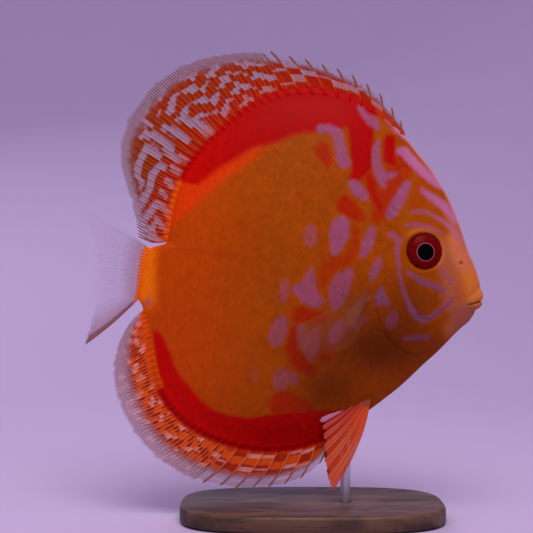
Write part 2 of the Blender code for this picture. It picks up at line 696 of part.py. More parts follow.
def main():
    for old in list(bpy.data.objects):
        bpy.data.objects.remove(old)

    skin = material("skin_orange", (0.72, 0.22, 0.02), 0.35)
    jaw = material("skin_snout", (0.75, 0.36, 0.18), 0.35)
    cover = material("skin_cover", (0.66, 0.24, 0.05), 0.35)
    fin_red = material("fin_red", (0.70, 0.10, 0.02), 0.4)
    fin_clear = material("fin_clear", (0.80, 0.62, 0.66), 0.3)
    eye = material("eye_red", (0.32, 0.02, 0.02), 0.08)
    wood = material("stand_wood", (0.16, 0.09, 0.05), 0.5)
    steel = material("stand_steel", (0.6, 0.6, 0.62), 0.3, 1.0)

    build_body(skin, jaw)
    for side, word in ((-1, "right"), (1, "left")):
        made = eye_solid("eye_" + word, side)
        made.data.materials.append(eye)
        cover_solid("gill_cover_" + word, side, cover)

    shares = [math.sin(math.pi / 2 * (i + 1) / 8) for i in range(8)]

    def grown_body():
        return body_solid("room", body_angles(6.0), shares, GAP)

    half_gap = math.degrees(GAP / 2 / (60 * MM))
    first, last = DORSAL_RAYS[0][0], DORSAL_RAYS[-1][0]
    median_fin("dorsal_fin_front", DORSAL_RAYS, DORSAL_MARGIN, first, DORSAL_SPLIT - half_gap, 10,
               SPINE_NOTCH, fin_red)
    median_fin("dorsal_fin_rear", DORSAL_RAYS, DORSAL_MARGIN, DORSAL_SPLIT + half_gap, last, 22,
               RAY_NOTCH, fin_red)
    first, last = ANAL_RAYS[0][0], ANAL_RAYS[-1][0]
    median_fin("anal_fin_rear", ANAL_RAYS, ANAL_MARGIN, first, ANAL_SPLIT - half_gap, 20,
               RAY_NOTCH, fin_red)
    median_fin("anal_fin_front", ANAL_RAYS, ANAL_MARGIN, ANAL_SPLIT + half_gap, last, 9,
               SPINE_NOTCH, fin_red)
    tail_fin("caudal_fin", 16, fin_clear)

    for side, word in ((-1, "right"), (1, "left")):
        x, z = PECTORAL_ROOT
        fan_fin("pectoral_fin_" + word, side, (x + 0.6 * MM, z - PECTORAL_ROOT_HALF),
                (x - 0.6 * MM, z + PECTORAL_ROOT_HALF),
                lambda u: PECTORAL_LENGTH * float(np.interp(u, (0, 0.12, 0.35, 0.7, 1), (0.86, 0.97, 1, 0.78, 0.5))),
                PECTORAL_FAN, PECTORAL_OUT, 0.1, float(half_width(x, z)), 10, fin_clear, grown_body)
        (back_x, back_z), (front_x, front_z) = PELVIC_ROOT
        fan_fin("pelvic_fin_" + word, side, (front_x * MM, front_z * MM), (back_x * MM, back_z * MM),
                lambda u: (PELVIC_LENGTHS[0] + (PELVIC_LENGTHS[1] - PELVIC_LENGTHS[0]) * u**2) * MM,
                PELVIC_FAN, PELVIC_OUT, 0.3, PELVIC_SIDE, 6, fin_red, grown_body)

    base_solid("stand_base", wood)
    rod = rod_solid("stand_rod", steel)
    combine(rod, "DIFFERENCE", [grown_body()])
    keep_largest(rod)

    move = Matrix.Translation((DISC_X, 0, DISC_Z))
    for made in bpy.data.objects:
        made.data.transform(move)
        made.data.shade_smooth()
        made.data.set_sharp_from_angle(angle=math.radians(40))


if __name__ == "__main__":
    main()
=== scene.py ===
"""A discus fish as a life-size display model: painted skin with laid-on scales, glass eyes and thin cast
fins, standing on a walnut base by one steel rod. Sizes are in metres unless a comment says millimetres."""
import math

import bpy
import numpy as np
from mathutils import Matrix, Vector


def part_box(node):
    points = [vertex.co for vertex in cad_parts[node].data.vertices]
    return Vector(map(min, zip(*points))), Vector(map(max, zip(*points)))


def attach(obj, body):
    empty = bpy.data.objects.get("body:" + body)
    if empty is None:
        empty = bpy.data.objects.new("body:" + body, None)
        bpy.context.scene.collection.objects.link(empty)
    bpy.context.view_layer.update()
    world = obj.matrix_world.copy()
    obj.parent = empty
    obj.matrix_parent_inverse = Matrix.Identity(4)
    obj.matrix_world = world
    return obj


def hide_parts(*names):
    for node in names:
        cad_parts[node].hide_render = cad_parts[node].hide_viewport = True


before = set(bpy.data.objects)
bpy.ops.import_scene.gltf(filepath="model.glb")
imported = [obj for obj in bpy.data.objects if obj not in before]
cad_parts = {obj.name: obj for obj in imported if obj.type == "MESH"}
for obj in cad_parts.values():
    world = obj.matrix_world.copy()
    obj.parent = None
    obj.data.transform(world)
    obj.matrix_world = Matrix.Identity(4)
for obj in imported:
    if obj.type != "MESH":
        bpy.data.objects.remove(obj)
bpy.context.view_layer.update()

# Walnut base: one solid block with rounded ends, its top edge rounded over, oiled and drilled for the
# rod. A thin felt pad is glued under it, so that the shelf isn't scratched.
MM = 0.001
base_low, base_high = (Vector(corner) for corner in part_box("stand_base"))
rod_low, rod_high = (Vector(corner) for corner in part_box("stand_rod"))
FELT_THICK = 0.7 * MM
FELT_INSET = 1.2 * MM
FELT_BEVEL = 0.2 * MM
LOWER_BEVEL = 0.25 * MM
ROUND_OVER = 1.3 * MM
CORNER_POWER = 3.2
SOCKET_GAP = 0.3 * MM
SOCKET_DEEP = 3.5 * MM
WALNUT_DARK = (0.040, 0.019, 0.010, 1)
WALNUT_LIGHT = (0.150, 0.074, 0.036, 1)
FELT_COLOUR = (0.035, 0.040, 0.036, 1)


def new_finish(name, roughness=0.5, shine=0.5, metal=0.0):
    """A finish with its node tree and its shader, whose even values sit on the shader's own sockets."""
    finish = bpy.data.materials.new(name)
    finish.use_nodes = True
    shader = finish.node_tree.nodes["Principled BSDF"]
    shader.inputs["Roughness"].default_value = roughness
    shader.inputs["Specular IOR Level"].default_value = shine
    shader.inputs["Metallic"].default_value = metal
    return finish, finish.node_tree, shader


def add(tree, kind, values=(), **settings):
    """One node: its settings by name, and its sockets given as numbers, colours or other sockets."""
    made = tree.nodes.new("ShaderNode" + kind)
    for name, value in settings.items():
        setattr(made, name, value)
    for name, value in dict(values).items():
        if isinstance(value, bpy.types.NodeSocket):
            tree.links.new(value, made.inputs[name])
        else:
            made.inputs[name].default_value = value
    return made


def maths(tree, operation, one, two=0.0):
    return add(tree, "Math", {0: one, 1: two}, operation=operation, use_clamp=False).outputs[0]


def blend(tree, share, one, two, how="MIX"):
    """Two colours laid over each other by a share from 0 to 1."""
    made = add(tree, "Mix", {0: share, 6: one, 7: two}, data_type="RGBA", blend_type=how)
    return made.outputs[2]


def fade(tree, value, start, end, low=0.0, high=1.0):
    """A soft step that goes from low to high as the value goes from start to end."""
    return add(tree, "MapRange", {0: value, 1: start, 2: end, 3: low, 4: high},
               interpolation_type="SMOOTHSTEP").outputs[0]


def grain(tree, size, detail=3.0, stretch=(1, 1, 1), seed=0.0, rough=0.55):
    """Soft noise from 0 to 1 whose lumps have the given size, longer where stretch is below 1."""
    where = add(tree, "TexCoord").outputs["Object"]
    placed = add(tree, "Mapping", {"Vector": where, "Location": (seed, seed, seed), "Scale": stretch})
    return add(tree, "TexNoise", {"Vector": placed.outputs[0], "Scale": 1 / size, "Detail": detail,
                                  "Roughness": rough}).outputs["Fac"]


def relieve(tree, shader, height, depth):
    """Fine surface relief: height from 0 to 1 over a real depth."""
    made = add(tree, "Bump", {"Height": height, "Distance": depth, "Strength": 1.0})
    tree.links.new(made.outputs[0], shader.inputs["Normal"])


def mesh_piece(name, points, faces, finish, marks=(), sharp=45):
    """One object from arrays of points and faces, with a value at each point for every named mark."""
    mesh = bpy.data.meshes.new(name)
    mesh.from_pydata(points, [], faces)
    for mark, values in dict(marks).items():
        mesh.attributes.new(mark, "FLOAT", "POINT").data.foreach_set("value", np.ravel(values))
    mesh.shade_smooth()
    mesh.set_sharp_from_angle(angle=math.radians(sharp))
    mesh.materials.append(finish)
    made = bpy.data.objects.new(name, mesh)
    bpy.context.scene.collection.objects.link(made)
    return made


def rounded_ring(inset, height, turns=144):
    """One level of the base: a rounded oblong, drawn in by the inset."""
    a = np.arange(turns) * 2 * np.pi / turns
    middle, half = (base_low + base_high) / 2, (base_high - base_low) / 2
    x = middle.x + np.sign(np.cos(a)) * np.abs(np.cos(a)) ** (2 / CORNER_POWER) * (half.x - inset)
    y = middle.y + np.sign(np.sin(a)) * np.abs(np.sin(a)) ** (2 / CORNER_POWER) * (half.y - inset)
    return np.stack([x, y, np.full(turns, base_low.z + height)], -1)


def stacked(rings):
    """Points and faces of a solid from rings laid one on another, closed at both ends."""
    turns = len(rings[0])
    faces = []
    for level in range(len(rings) - 1):
        a, b = level * turns, (level + 1) * turns
        faces += [(a + i, a + (i + 1) % turns, b + (i + 1) % turns, b + i) for i in range(turns)]
    last = (len(rings) - 1) * turns
    faces += [tuple(range(turns))[::-1], tuple(range(last, last + turns))]
    return np.concatenate(rings), faces


walnut, tree, shader = new_finish("oiled_walnut", shine=0.35)
streaks = grain(tree, 7 * MM, 6, (0.12, 1, 0.6))
pores = grain(tree, 0.6 * MM, 2, (0.06, 1, 1), 3.0)
wavy = grain(tree, 30 * MM, 2, (0.5, 1, 1), 7.0)
rings_of_growth = add(tree, "Math", {0: maths(tree, "MULTIPLY", wavy, 60.0)}, operation="SINE").outputs[0]
tone = maths(tree, "ADD", streaks, maths(tree, "MULTIPLY", rings_of_growth, 0.10))
colour = blend(tree, fade(tree, tone, 0.30, 0.72), WALNUT_DARK, WALNUT_LIGHT)
colour = blend(tree, fade(tree, pores, 0.40, 0.30, 0, 0.65), colour, (0.018, 0.009, 0.005, 1))
tree.links.new(colour, shader.inputs["Base Color"])
tree.links.new(fade(tree, streaks, 0.3, 0.7, 0.52, 0.40), shader.inputs["Roughness"])
relieve(tree, shader, fade(tree, pores, 0.30, 0.45), 0.06 * MM)

height = base_high.z - base_low.z
steps = np.linspace(0, math.pi / 2, 7)
levels = [rounded_ring(LOWER_BEVEL, FELT_THICK), rounded_ring(0, FELT_THICK + LOWER_BEVEL)]
levels += [rounded_ring(ROUND_OVER * (1 - math.cos(a)), height - ROUND_OVER * (1 - math.sin(a)))
           for a in steps]
outer = levels[-1]
rod_middle = (rod_low + rod_high) / 2
socket = (rod_high.y - rod_low.y) / 2 + SOCKET_GAP
turn = np.arctan2(outer[:, 1] - rod_middle.y, outer[:, 0] - rod_middle.x)
round_hole = np.stack([rod_middle.x + socket * np.cos(turn), rod_middle.y + socket * np.sin(turn)], -1)
for share in (0.15, 0.4, 0.7, 0.92, 1.0):
    flat = outer[:, :2] * (1 - share) + round_hole * share
    levels.append(np.column_stack([flat, outer[:, 2] - (0.15 * MM if share == 1.0 else 0)]))
levels.append(np.column_stack([round_hole, outer[:, 2] - SOCKET_DEEP]))
base = mesh_piece("stand_block", *stacked(levels), walnut, sharp=50)

felt, tree, shader = new_finish("wool_felt", roughness=0.95, shine=0.1)
fibres = grain(tree, 0.35 * MM, 4, (1, 1, 1), 1.0)
tree.links.new(blend(tree, fibres, FELT_COLOUR, (0.075, 0.085, 0.078, 1)), shader.inputs["Base Color"])
relieve(tree, shader, fibres, 0.15 * MM)
levels = [rounded_ring(FELT_INSET + FELT_BEVEL, 0), rounded_ring(FELT_INSET, FELT_BEVEL)]
pad = mesh_piece("stand_felt", *stacked([*levels, rounded_ring(FELT_INSET, FELT_THICK)]), felt)
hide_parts("stand_base")
for piece in (base, pad):
    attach(piece, "root")

# Steel rod: drawn bright bar, brushed along its length and let into the base. Its top end is hollowed
# and soldered to a pin inside the belly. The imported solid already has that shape, so it stays.
steel, tree, shader = new_finish("brushed_steel", roughness=0.3, metal=1.0)
brushed = grain(tree, 0.5 * MM, 4, (1, 1, 0.03))
colour = blend(tree, brushed, (0.50, 0.50, 0.52, 1), (0.66, 0.66, 0.68, 1))
tree.links.new(colour, shader.inputs["Base Color"])
tree.links.new(fade(tree, brushed, 0.3, 0.7, 0.22, 0.38), shader.inputs["Roughness"])
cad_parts["stand_rod"].material_slots[0].material = steel

# Skin: one painted hide over head, jaw, trunk and tail stalk, laid on a carved core. The orbit, the
# nostril, the lips, the gill cover's free edge and the lateral line are cut in the core. Millimetres.
DISC_X, DISC_Z = 5.72, 88.6
OUTLINE = (
    (0, 61.0), (5, 59.0), (10, 58.1), (18, 57.3), (32, 56.9), (41, 56.9),
    (49, 57.8), (57, 59.0), (66, 60.2), (75, 61.0), (84, 61.2), (93, 60.6),
    (102, 58.7), (110, 56.6), (118, 54.5), (127, 53.0), (137, 51.8), (147, 50.1),
    (156, 48.4), (164, 47.1), (169.5, 46.9), (171.2, 47.6), (173.5, 52.3), (177, 54.0),
    (181, 54.6), (186, 55.8), (191.5, 57.8), (194.5, 56.9), (200, 57.0), (205, 58.0),
    (210, 59.9), (217, 63.1), (224, 65.8), (230, 67.2), (237, 67.6), (248, 66.8),
    (258, 65.5), (267, 63.8), (277, 61.2), (287, 58.5), (297, 56.1), (306, 55.2),
    (314, 55.1), (320, 55.4), (327, 56.8), (334, 58.7), (338, 60.3), (342, 62.6),
    (346, 63.7), (350, 64.1), (353, 63.7), (356, 62.6),
)
HALF_WIDTH = 11.6
FALL_OFF = (
    (0, 64.5, 2.6, 0.50), (20, 58.6, 2.3, 0.56), (41, 58.0, 2.1, 0.68), (57, 60.8, 1.9, 0.80),
    (75, 63.0, 1.8, 0.86), (93, 62.6, 1.7, 0.92), (118, 58.5, 1.7, 0.98), (140, 56.5, 1.6, 1.0),
    (160, 57.8, 1.6, 1.05), (180, 60.5, 1.6, 1.1), (198, 61.5, 1.6, 1.05), (217, 65.0, 1.6, 1.0),
    (237, 69.4, 1.7, 0.94), (258, 67.2, 1.8, 0.88), (277, 63.0, 1.9, 0.80), (297, 57.4, 2.1, 0.68),
    (320, 56.4, 2.3, 0.58), (342, 63.0, 2.6, 0.50),
)
EDGE_HALF = (
    (0, 0.4), (44, 0.4), (52, 0.85), (70, 1.1), (165, 1.0), (171.5, 0.7), (175, 0.9),
    (190, 0.9), (194.5, 0.7), (202, 1.0), (270, 1.1), (282, 0.85), (292, 0.4), (355, 0.4),
)
ROUND_FROM = 0.82
SWELLINGS = (("muzzle", 60.0, -11.0, 1.3, 4.5, 5.0), ("brow", 43.0, 12.0, 0.5, 7.0, 4.0),
             ("cheek", 38.0, -14.0, 0.6, 8.0, 8.0))
EYE_AT = (42.6, 4.7)
EYE_RADIUS = 6.1
NOSTRIL_AT = (55.6, 0.4)
NOSTRIL_RADIUS = 0.75
MOUTH_FRONT, MOUTH_CORNER = (63.9, -12.2), (58.6, -13.9)
GILL_EDGE = ((31.6, 12.2), (29.4, 9.0), (26.9, 1.5), (25.5, -7.0), (26.5, -16.5), (31.4, -26.0),
             (40.0, -31.0), (46.4, -28.8))
UPPER_LATERAL = ((32.0, 15.0), (22.0, 20.5), (10.0, 23.0), (0.1, 23.6), (-10.4, 23.4), (-24.4, 21.4),
                 (-34.9, 17.5), (-43.6, 11.5))
LOWER_LATERAL = ((-12.0, 5.4), (-24.4, 2.6), (-36.0, 1.6), (-49.6, 1.0), (-53.0, 0.9))
PORES = ((52.6, 5.8), (51.6, 9.6), (48.9, 12.6), (53.6, -3.2), (51.3, -6.8), (47.6, -9.6), (43.2, -10.6),
         (57.4, 4.2), (57.8, -3.6), (36.6, -19.8), (42.8, -23.2), (49.6, -20.4), (54.6, -19.2))
COAT_DEPTH = 0.12


def smooth(start, end, value):
    """Soft step from 0 at start to 1 at end."""
    t = np.clip((value - start) / (end - start), 0, 1)
    return t * t * (3 - 2 * t)


def through(knots, values, at):
    """Value at each place of a curve that passes through the knots and never overshoots them."""
    x, y = np.asarray(knots, float), np.asarray(values, float)
    step = np.diff(x)
    slope = np.diff(y) / step
    both, total = slope[:-1] * slope[1:], slope[:-1] + slope[1:]
    inner = np.where(both > 0, 2 * both / np.where(total == 0, 1, total), 0)
    tangent = np.concatenate([slope[:1], inner, slope[-1:]])
    at = np.clip(at, x[0], x[-1])
    i = np.clip(np.searchsorted(x, at) - 1, 0, len(step) - 1)
    t = (at - x[i]) / step[i]
    rise = t * t * (3 - 2 * t)
    return (y[i] + (y[i + 1] - y[i]) * rise + t * (1 - t) ** 2 * step[i] * tangent[i]
            + t * t * (t - 1) * step[i] * tangent[i + 1])


def around(table, column, angle):
    """A table's column at angles in degrees, carried on past the full turn."""
    knots = np.array([row[0] for row in table], float)
    values = np.array([row[column] for row in table], float)
    wrapped = np.concatenate([knots[-2:] - 360, knots, knots[:2] + 360])
    return through(wrapped, np.concatenate([values[-2:], values, values[:2]]), np.mod(angle, 360))


def polar(x, z):
    return np.degrees(np.arctan2(z, x)), np.hypot(x, z)


def line_away(x, z, line):
    """Distance from a line of points, positive to its left, and how far along the nearest place is."""
    points = np.asarray(line, float)[:, :2]
    reach = np.linalg.norm(np.diff(points, axis=0), axis=1)
    run = np.concatenate([[0], np.cumsum(reach)])
    best, along = np.full(np.shape(x), 1e3), np.zeros(np.shape(x))
    for (x1, z1), (x2, z2), start, length in zip(points, points[1:], run, reach):
        t = np.clip(((x - x1) * (x2 - x1) + (z - z1) * (z2 - z1)) / length**2, 0, 1)
        gap = np.hypot(x - x1 - t * (x2 - x1), z - z1 - t * (z2 - z1))
        left = np.sign((x2 - x1) * (z - z1) - (z2 - z1) * (x - x1))
        near = gap < np.abs(best)
        best = np.where(near, gap * np.where(left == 0, 1, left), best)
        along = np.where(near, start + t * length, along)
    return best, along


def eased(line, count=40):
    """A smooth line of many points through a few."""
    line = np.asarray(line, float)
    run = np.concatenate([[0], np.cumsum(np.linalg.norm(np.diff(line, axis=0), axis=1))])
    at = np.linspace(0, run[-1], count)
    return np.stack([through(run, column, at) for column in line.T], -1)


def carving(x, z):
    """How far the core is raised or cut at a side-view point."""
    from_eye = np.hypot(x - EYE_AT[0], z - EYE_AT[1])
    rise = 0.14 * np.exp(-(((from_eye - EYE_RADIUS - 1.4) / 0.8) ** 2))
    rise -= 0.35 * smooth(EYE_RADIUS + 1.1, EYE_RADIUS, from_eye)
    rise -= 3.0 * smooth(EYE_RADIUS + 0.04, EYE_RADIUS - 0.20, from_eye)
    from_nostril = np.hypot(x - NOSTRIL_AT[0], (z - NOSTRIL_AT[1]) / 1.2) / NOSTRIL_RADIUS
    rise += 0.18 * np.exp(-(((from_nostril - 1.35) / 0.4) ** 2)) - 0.9 * smooth(1.1, 0.6, from_nostril)
    gap, run = line_away(x, z, eased(GILL_EDGE))
    open_part = smooth(0, 5, run) * smooth(63, 54, run)
    before = smooth(-0.45, 0.30, gap)
    behind = -0.22 * np.exp(-(((gap + 0.45) / 0.7) ** 2))
    rise += open_part * (before * 0.32 * np.exp(-np.abs(gap) / 4.5) + (1 - before) * behind)
    gap, run = line_away(x, z, eased([p[:2] for p in CHEEK_LINE]))
    ridge = 0.10 * np.exp(-(((gap - 0.9) / 0.8) ** 2))
    rise += smooth(0, 4, run) * (ridge - 0.14 * np.exp(-((gap / 0.5) ** 2)))
    for line in (UPPER_LATERAL, LOWER_LATERAL):
        gap, run = line_away(x, z, eased(line))
        rise -= 0.10 * np.exp(-((gap / 0.4) ** 2)) * (0.5 + 0.5 * np.cos(2 * np.pi * run / 2.2))
    for at_x, at_z in PORES:
        rise -= 0.30 * np.exp(-(np.hypot(x - at_x, z - at_z) / 0.34) ** 2)
    return rise


def hide_half(x, z, carved=True):
    """Half of the body's width across at a side-view point, with its rim rounded off."""
    angle, radius = polar(x, z)
    edge, rim = around(EDGE_HALF, 1, angle), around(OUTLINE, 1, angle)
    spent = np.clip(radius / around(FALL_OFF, 1, angle), 0, 0.995)
    width = HALF_WIDTH * (1 - spent ** around(FALL_OFF, 2, angle)) ** around(FALL_OFF, 3, angle)
    for _, at_x, at_z, height, spread_x, spread_z in SWELLINGS:
        width = width + height * np.exp(-(((x - at_x) / spread_x) ** 2 + ((z - at_z) / spread_z) ** 2) / 2)
    inner = np.clip((radius / rim - ROUND_FROM) / (1 - ROUND_FROM), 0, 1)
    round_off = np.sqrt(1 - np.clip((radius - rim + edge) / edge, 0, 1) ** 2)
    half = edge * round_off + np.maximum(width - edge, 0) * np.sqrt(1 - inner**2.5)
    if carved:
        half = half + carving(x, z) * smooth(1.0, 0.97, radius / rim)
    return half


# Each painted mark is a stroke of side-view points with its half width there, after its strength
CHEEK_LINE = ((31.3, 10.7, 0.6), (32.8, 10.5, 1.0), (34.5, 8.7, 1.0), (34.1, 5.7, 0.8), (34.4, 1.7, 0.55),
              (34.9, -2.5, 0.4), (35.8, -7.4, 0.4), (37.3, -11.6, 0.6), (38.9, -15.1, 1.0),
              (41.0, -18.1, 1.1), (43.4, -19.4, 1.05), (46.1, -18.2, 0.8), (48.9, -16.1, 0.55),
              (51.6, -13.9, 0.6), (52.8, -11.9, 0.4))
VIOLET_STROKES = (
    (0.95, (7.5, 47.6, 1.5), (10.6, 47.7, 1.5), (13.1, 46.2, 1.6), (14.1, 41.6, 1.8), (14.8, 37.8, 2.1),
     (15.7, 35.7, 1.9)),
    (0.9, (21.1, 54.9, 0.9), (23.2, 51.8, 1.2), (25.3, 50.4, 1.8), (27.1, 48.3, 1.1)),
    (1.0, (28.5, 55.6, 1.0), (30.8, 52.8, 1.6), (32.5, 50.3, 1.8), (34.5, 47.6, 1.6), (36.7, 44.9, 0.7)),
    (1.0, (34.9, 39.7, 1.2), (36.7, 39.5, 1.75), (38.4, 37.4, 1.7), (40.7, 35.0, 1.6), (43.7, 32.2, 1.6),
     (46.6, 29.7, 1.45), (49.4, 27.2, 0.8)),
    (0.95, (27.6, 43.4, 0.5), (26.7, 40.1, 1.2), (26.7, 36.7, 1.4), (27.6, 33.2, 1.6), (28.8, 29.9, 1.7),
     (29.5, 27.4, 0.7)),
    (0.95, (28.8, 31.1, 1.5), (31.5, 31.1, 1.3), (33.6, 32.1, 0.5)),
    (0.95, (18.7, 28.3, 1.6), (20.4, 26.2, 2.2), (22.5, 23.9, 1.5)),
    (1.0, (37.4, 27.8, 1.5), (36.0, 25.1, 1.8), (33.8, 21.2, 2.1), (31.9, 17.6, 1.6)),
    (1.0, (42.8, 26.2, 0.7), (45.5, 24.1, 1.2), (48.5, 22.0, 1.3), (51.1, 19.9, 1.3), (53.0, 17.6, 1.0),
     (54.5, 15.0, 0.6)),
    (0.85, (39.0, 18.3, 0.25), (41.4, 18.8, 0.5), (44.2, 18.5, 0.55), (47.0, 17.1, 0.5), (50.5, 14.9, 0.45),
     (54.0, 11.7, 0.45), (56.6, 8.5, 0.3)),
    (0.8, (36.9, 13.8, 0.25), (40.0, 14.1, 0.6), (43.9, 13.5, 0.65), (47.0, 12.4, 0.5), (49.7, 11.2, 0.25)),
    (0.85, *CHEEK_LINE),
    (0.8, (37.9, -2.5, 0.4), (40.4, -4.2, 0.8), (43.5, -6.3, 0.9), (46.7, -7.2, 0.95), (49.1, -8.4, 0.7),
     (50.9, -9.5, 0.3)),
    (0.55, (48.8, -1.4, 0.3), (51.2, -3.5, 0.6), (53.7, -6.3, 0.3)),
    (0.95, (14.5, 14.3, 2.8), (13.8, 11.2, 3.4), (13.1, 7.7, 2.5), (12.2, 4.2, 1.1)),
    (0.9, (25.3, 12.2, 1.2), (24.4, 9.4, 1.8), (23.4, 6.3, 1.8), (22.2, 3.5, 1.0)),
    (0.85, (27.8, 1.1, 1.2), (26.4, -1.8, 1.4), (25.1, -5.1, 0.7)),
    (0.75, (17.1, -3.1, 1.9), (15.0, -5.9, 3.1), (13.7, -9.1, 3.4), (12.8, -12.6, 2.5), (12.2, -14.5, 1.3)),
    (0.7, (4.2, -1.1, 0.5), (3.4, -5.2, 2.0), (2.9, -9.1, 3.4)),
    (0.9, (-0.6, -8.6, 1.9), (3.3, -10.7, 3.3), (5.4, -12.4, 2.5)),
    (0.45, (-5.1, -5.8, 1.0), (-5.5, -8.8, 1.5), (-6.0, -12.6, 1.0)),
    (0.4, (4.0, 12.4, 1.8), (3.6, 9.4, 2.4), (4.0, 7.7, 1.7)),
    (0.9, (-6.5, -20.3, 2.1), (-7.4, -23.5, 3.1), (-8.6, -26.3, 2.4)),
    (0.6, (0.2, -22.4, 1.4), (1.5, -25.8, 2.4), (3.3, -30.5, 2.0), (4.1, -33.2, 0.9)),
    (0.6, (5.2, -23.4, 1.5), (4.3, -27.2, 2.6), (3.8, -30.5, 2.2)),
    (0.65, (14.1, -21.0, 1.6), (12.7, -23.5, 2.4), (11.3, -26.3, 1.6)),
    (0.75, (-6.6, -38.2, 2.1), (-6.9, -41.5, 2.5)),
    (0.75, (-6.5, -38.9, 2.4), (-2.7, -39.9, 2.2)),
    (0.85, (28.6, -8.3, 0.5), (28.3, -11.2, 1.9), (27.7, -13.2, 1.1)),
    (0.8, (28.5, -11.2, 1.8), (30.6, -13.8, 0.9)),
    (0.5, (32.9, -17.7, 1.6), (32.3, -19.6, 2.0), (31.9, -20.8, 1.6)),
    (0.2, (19.7, -21.0, 1.8), (23.2, -18.6, 1.4)),
    (0.15, (-16.0, -37.5, 1.8), (-16.0, -39.6, 1.8)),
    (0.6, (36.9, -25.9, 0.6), (40.4, -25.6, 1.0), (44.9, -25.4, 0.7)),
    (0.6, (-53.1, -12.3, 0.8), (-53.1, -13.7, 0.8)),
)
RED_STROKES = (
    (1.0, (21.1, 54.9, 4.9), (21.5, 43.7, 3.8), (21.8, 35.0, 3.1), (19.7, 31.1, 1.6)),
    (0.6, (7.8, 40.2, 2.8), (9.9, 36.0, 1.8)),
    (0.65, (15.9, 21.0, 3.1), (20.4, 17.1, 2.1)),
    (0.9, (31.6, 43.7, 1.8), (31.3, 37.4, 1.9), (33.0, 35.7, 1.0)),
    (0.55, (36.0, 36.0, 4.5), (31.5, 26.5, 4.0), (27.5, 17.0, 2.5)),
    (0.40, (38.5, 47.5, 2.5), (46.0, 38.0, 2.5)),
    (0.30, (44.0, 28.5, 3.0), (40.5, 21.5, 3.0)),
    (0.75, (24.6, 30.4, 1.8), (26.0, 24.5, 1.6), (28.1, 19.9, 1.4)),
    (0.6, (32.7, 27.6, 1.4), (30.2, 23.4, 1.0)),
    (0.5, (19.4, 12.2, 1.4), (19.0, 5.2, 1.8), (15.9, 1.0, 2.1)),
    (0.3, (8.9, 8.7, 1.4), (9.2, 1.0, 1.8)),
    (0.5, (13.4, 1.0, 2.8), (8.9, -2.5, 2.1), (7.8, -7.4, 1.4)),
    (0.6, (0.1, -17.5, 3.1), (4.3, -17.9, 2.1), (8.2, -18.6, 1.8)),
    (0.65, (-2.3, -22.8, 1.4), (-2.7, -29.8, 2.1), (0.1, -34.3, 2.8), (4.3, -37.1, 1.8)),
    (0.5, (9.9, -28.0, 1.8), (8.9, -32.6, 2.1)),
    (0.6, (-6.2, -48.7, 4.5), (0.8, -51.5, 4.5)),
)
# Inner edges of the red along the back, of the glow before it and of the red along the belly: angle, radius
BACK_BAND = ((60, 61), (72, 50), (81.3, 46.9), (92, 45.2), (104, 43.2), (112, 43.8), (119.2, 43.2),
             (132.3, 44.0), (141, 45.1), (145, 49.5), (150, 55))
GLOW_BAND = ((95, 44), (115, 39.5), (125, 39.5), (138, 40.2), (150, 42.2), (157, 44.3), (165, 46.8),
             (170, 49))
BELLY_BAND = ((200, 60), (204.3, 55.5), (207, 53.9), (213.3, 54.6), (221, 56.6), (227.6, 57.2), (238, 58.7),
              (250, 56.5), (262, 52), (275, 50.5), (288, 53), (300, 60))
SNOUT_STROKE = ((53.5, 9.0, 1.5), (57.5, 2.0, 3.2), (61.0, -5.0, 4.0), (62.0, -11.0, 4.2), (58.0, -18.0, 3.5),
                (53.0, -22.5, 2.0))
FACE_STROKE = ((50.5, 7.0, 2.2), (51.8, 0.0, 3.0), (53.0, -7.0, 3.6), (52.5, -13.0, 2.6))
TEMPLE_STROKE = ((51.0, 21.0, 0.8), (54.5, 13.0, 1.5), (56.0, 5.0, 2.6), (57.5, 0.5, 2.2))
# Painted shade, partly the belly's own darker brown: soft dark patches, strongest low on the belly, cheek and
# throat, where light from above leaves the body in shade. Columns: centre x and z, spread x and z, strength;
# millimetres.
SHADES = ((28.0, -29.0, 16.0, 12.0, 0.88), (10.0, -45.0, 14.0, 10.0, 0.66), (38.0, -12.0, 10.0, 14.0, 0.52),
          (47.0, -30.0, 11.0, 9.0, 0.35), (20.0, -12.0, 12.0, 12.0, 0.34), (5.0, -28.0, 12.0, 12.0, 0.46),
          (48.0, -14.0, 7.0, 8.0, 0.25), (-16.0, 4.0, 17.0, 15.0, 0.14), (34.0, 14.0, 10.0, 9.0, 0.18))
# The marks were drawn on a flat side view, as from this far away and about this point
DRAWN_FROM = 430.0
DRAWN_ABOUT = (-11.6, -0.6)


def stroke_away(x, z, stroke):
    """Distance outside a stroke of given points and half widths, negative within it."""
    best = np.full(np.shape(x), 1e3)
    for (x1, z1, r1), (x2, z2, r2) in zip(stroke, stroke[1:]):
        t = np.clip(((x - x1) * (x2 - x1) + (z - z1) * (z2 - z1)) / ((x2 - x1) ** 2 + (z2 - z1) ** 2), 0, 1)
        best = np.minimum(best, np.hypot(x - x1 - t * (x2 - x1), z - z1 - t * (z2 - z1)) - r1 - t * (r2 - r1))
    return best


def as_drawn(x, z):
    """Where a point of the flank lies on the flat drawing: its bulge made it a little larger there."""
    nearer = hide_half(x, z, False) / DRAWN_FROM
    return x + (x - DRAWN_ABOUT[0]) * nearer, z + (z - DRAWN_ABOUT[1]) * nearer


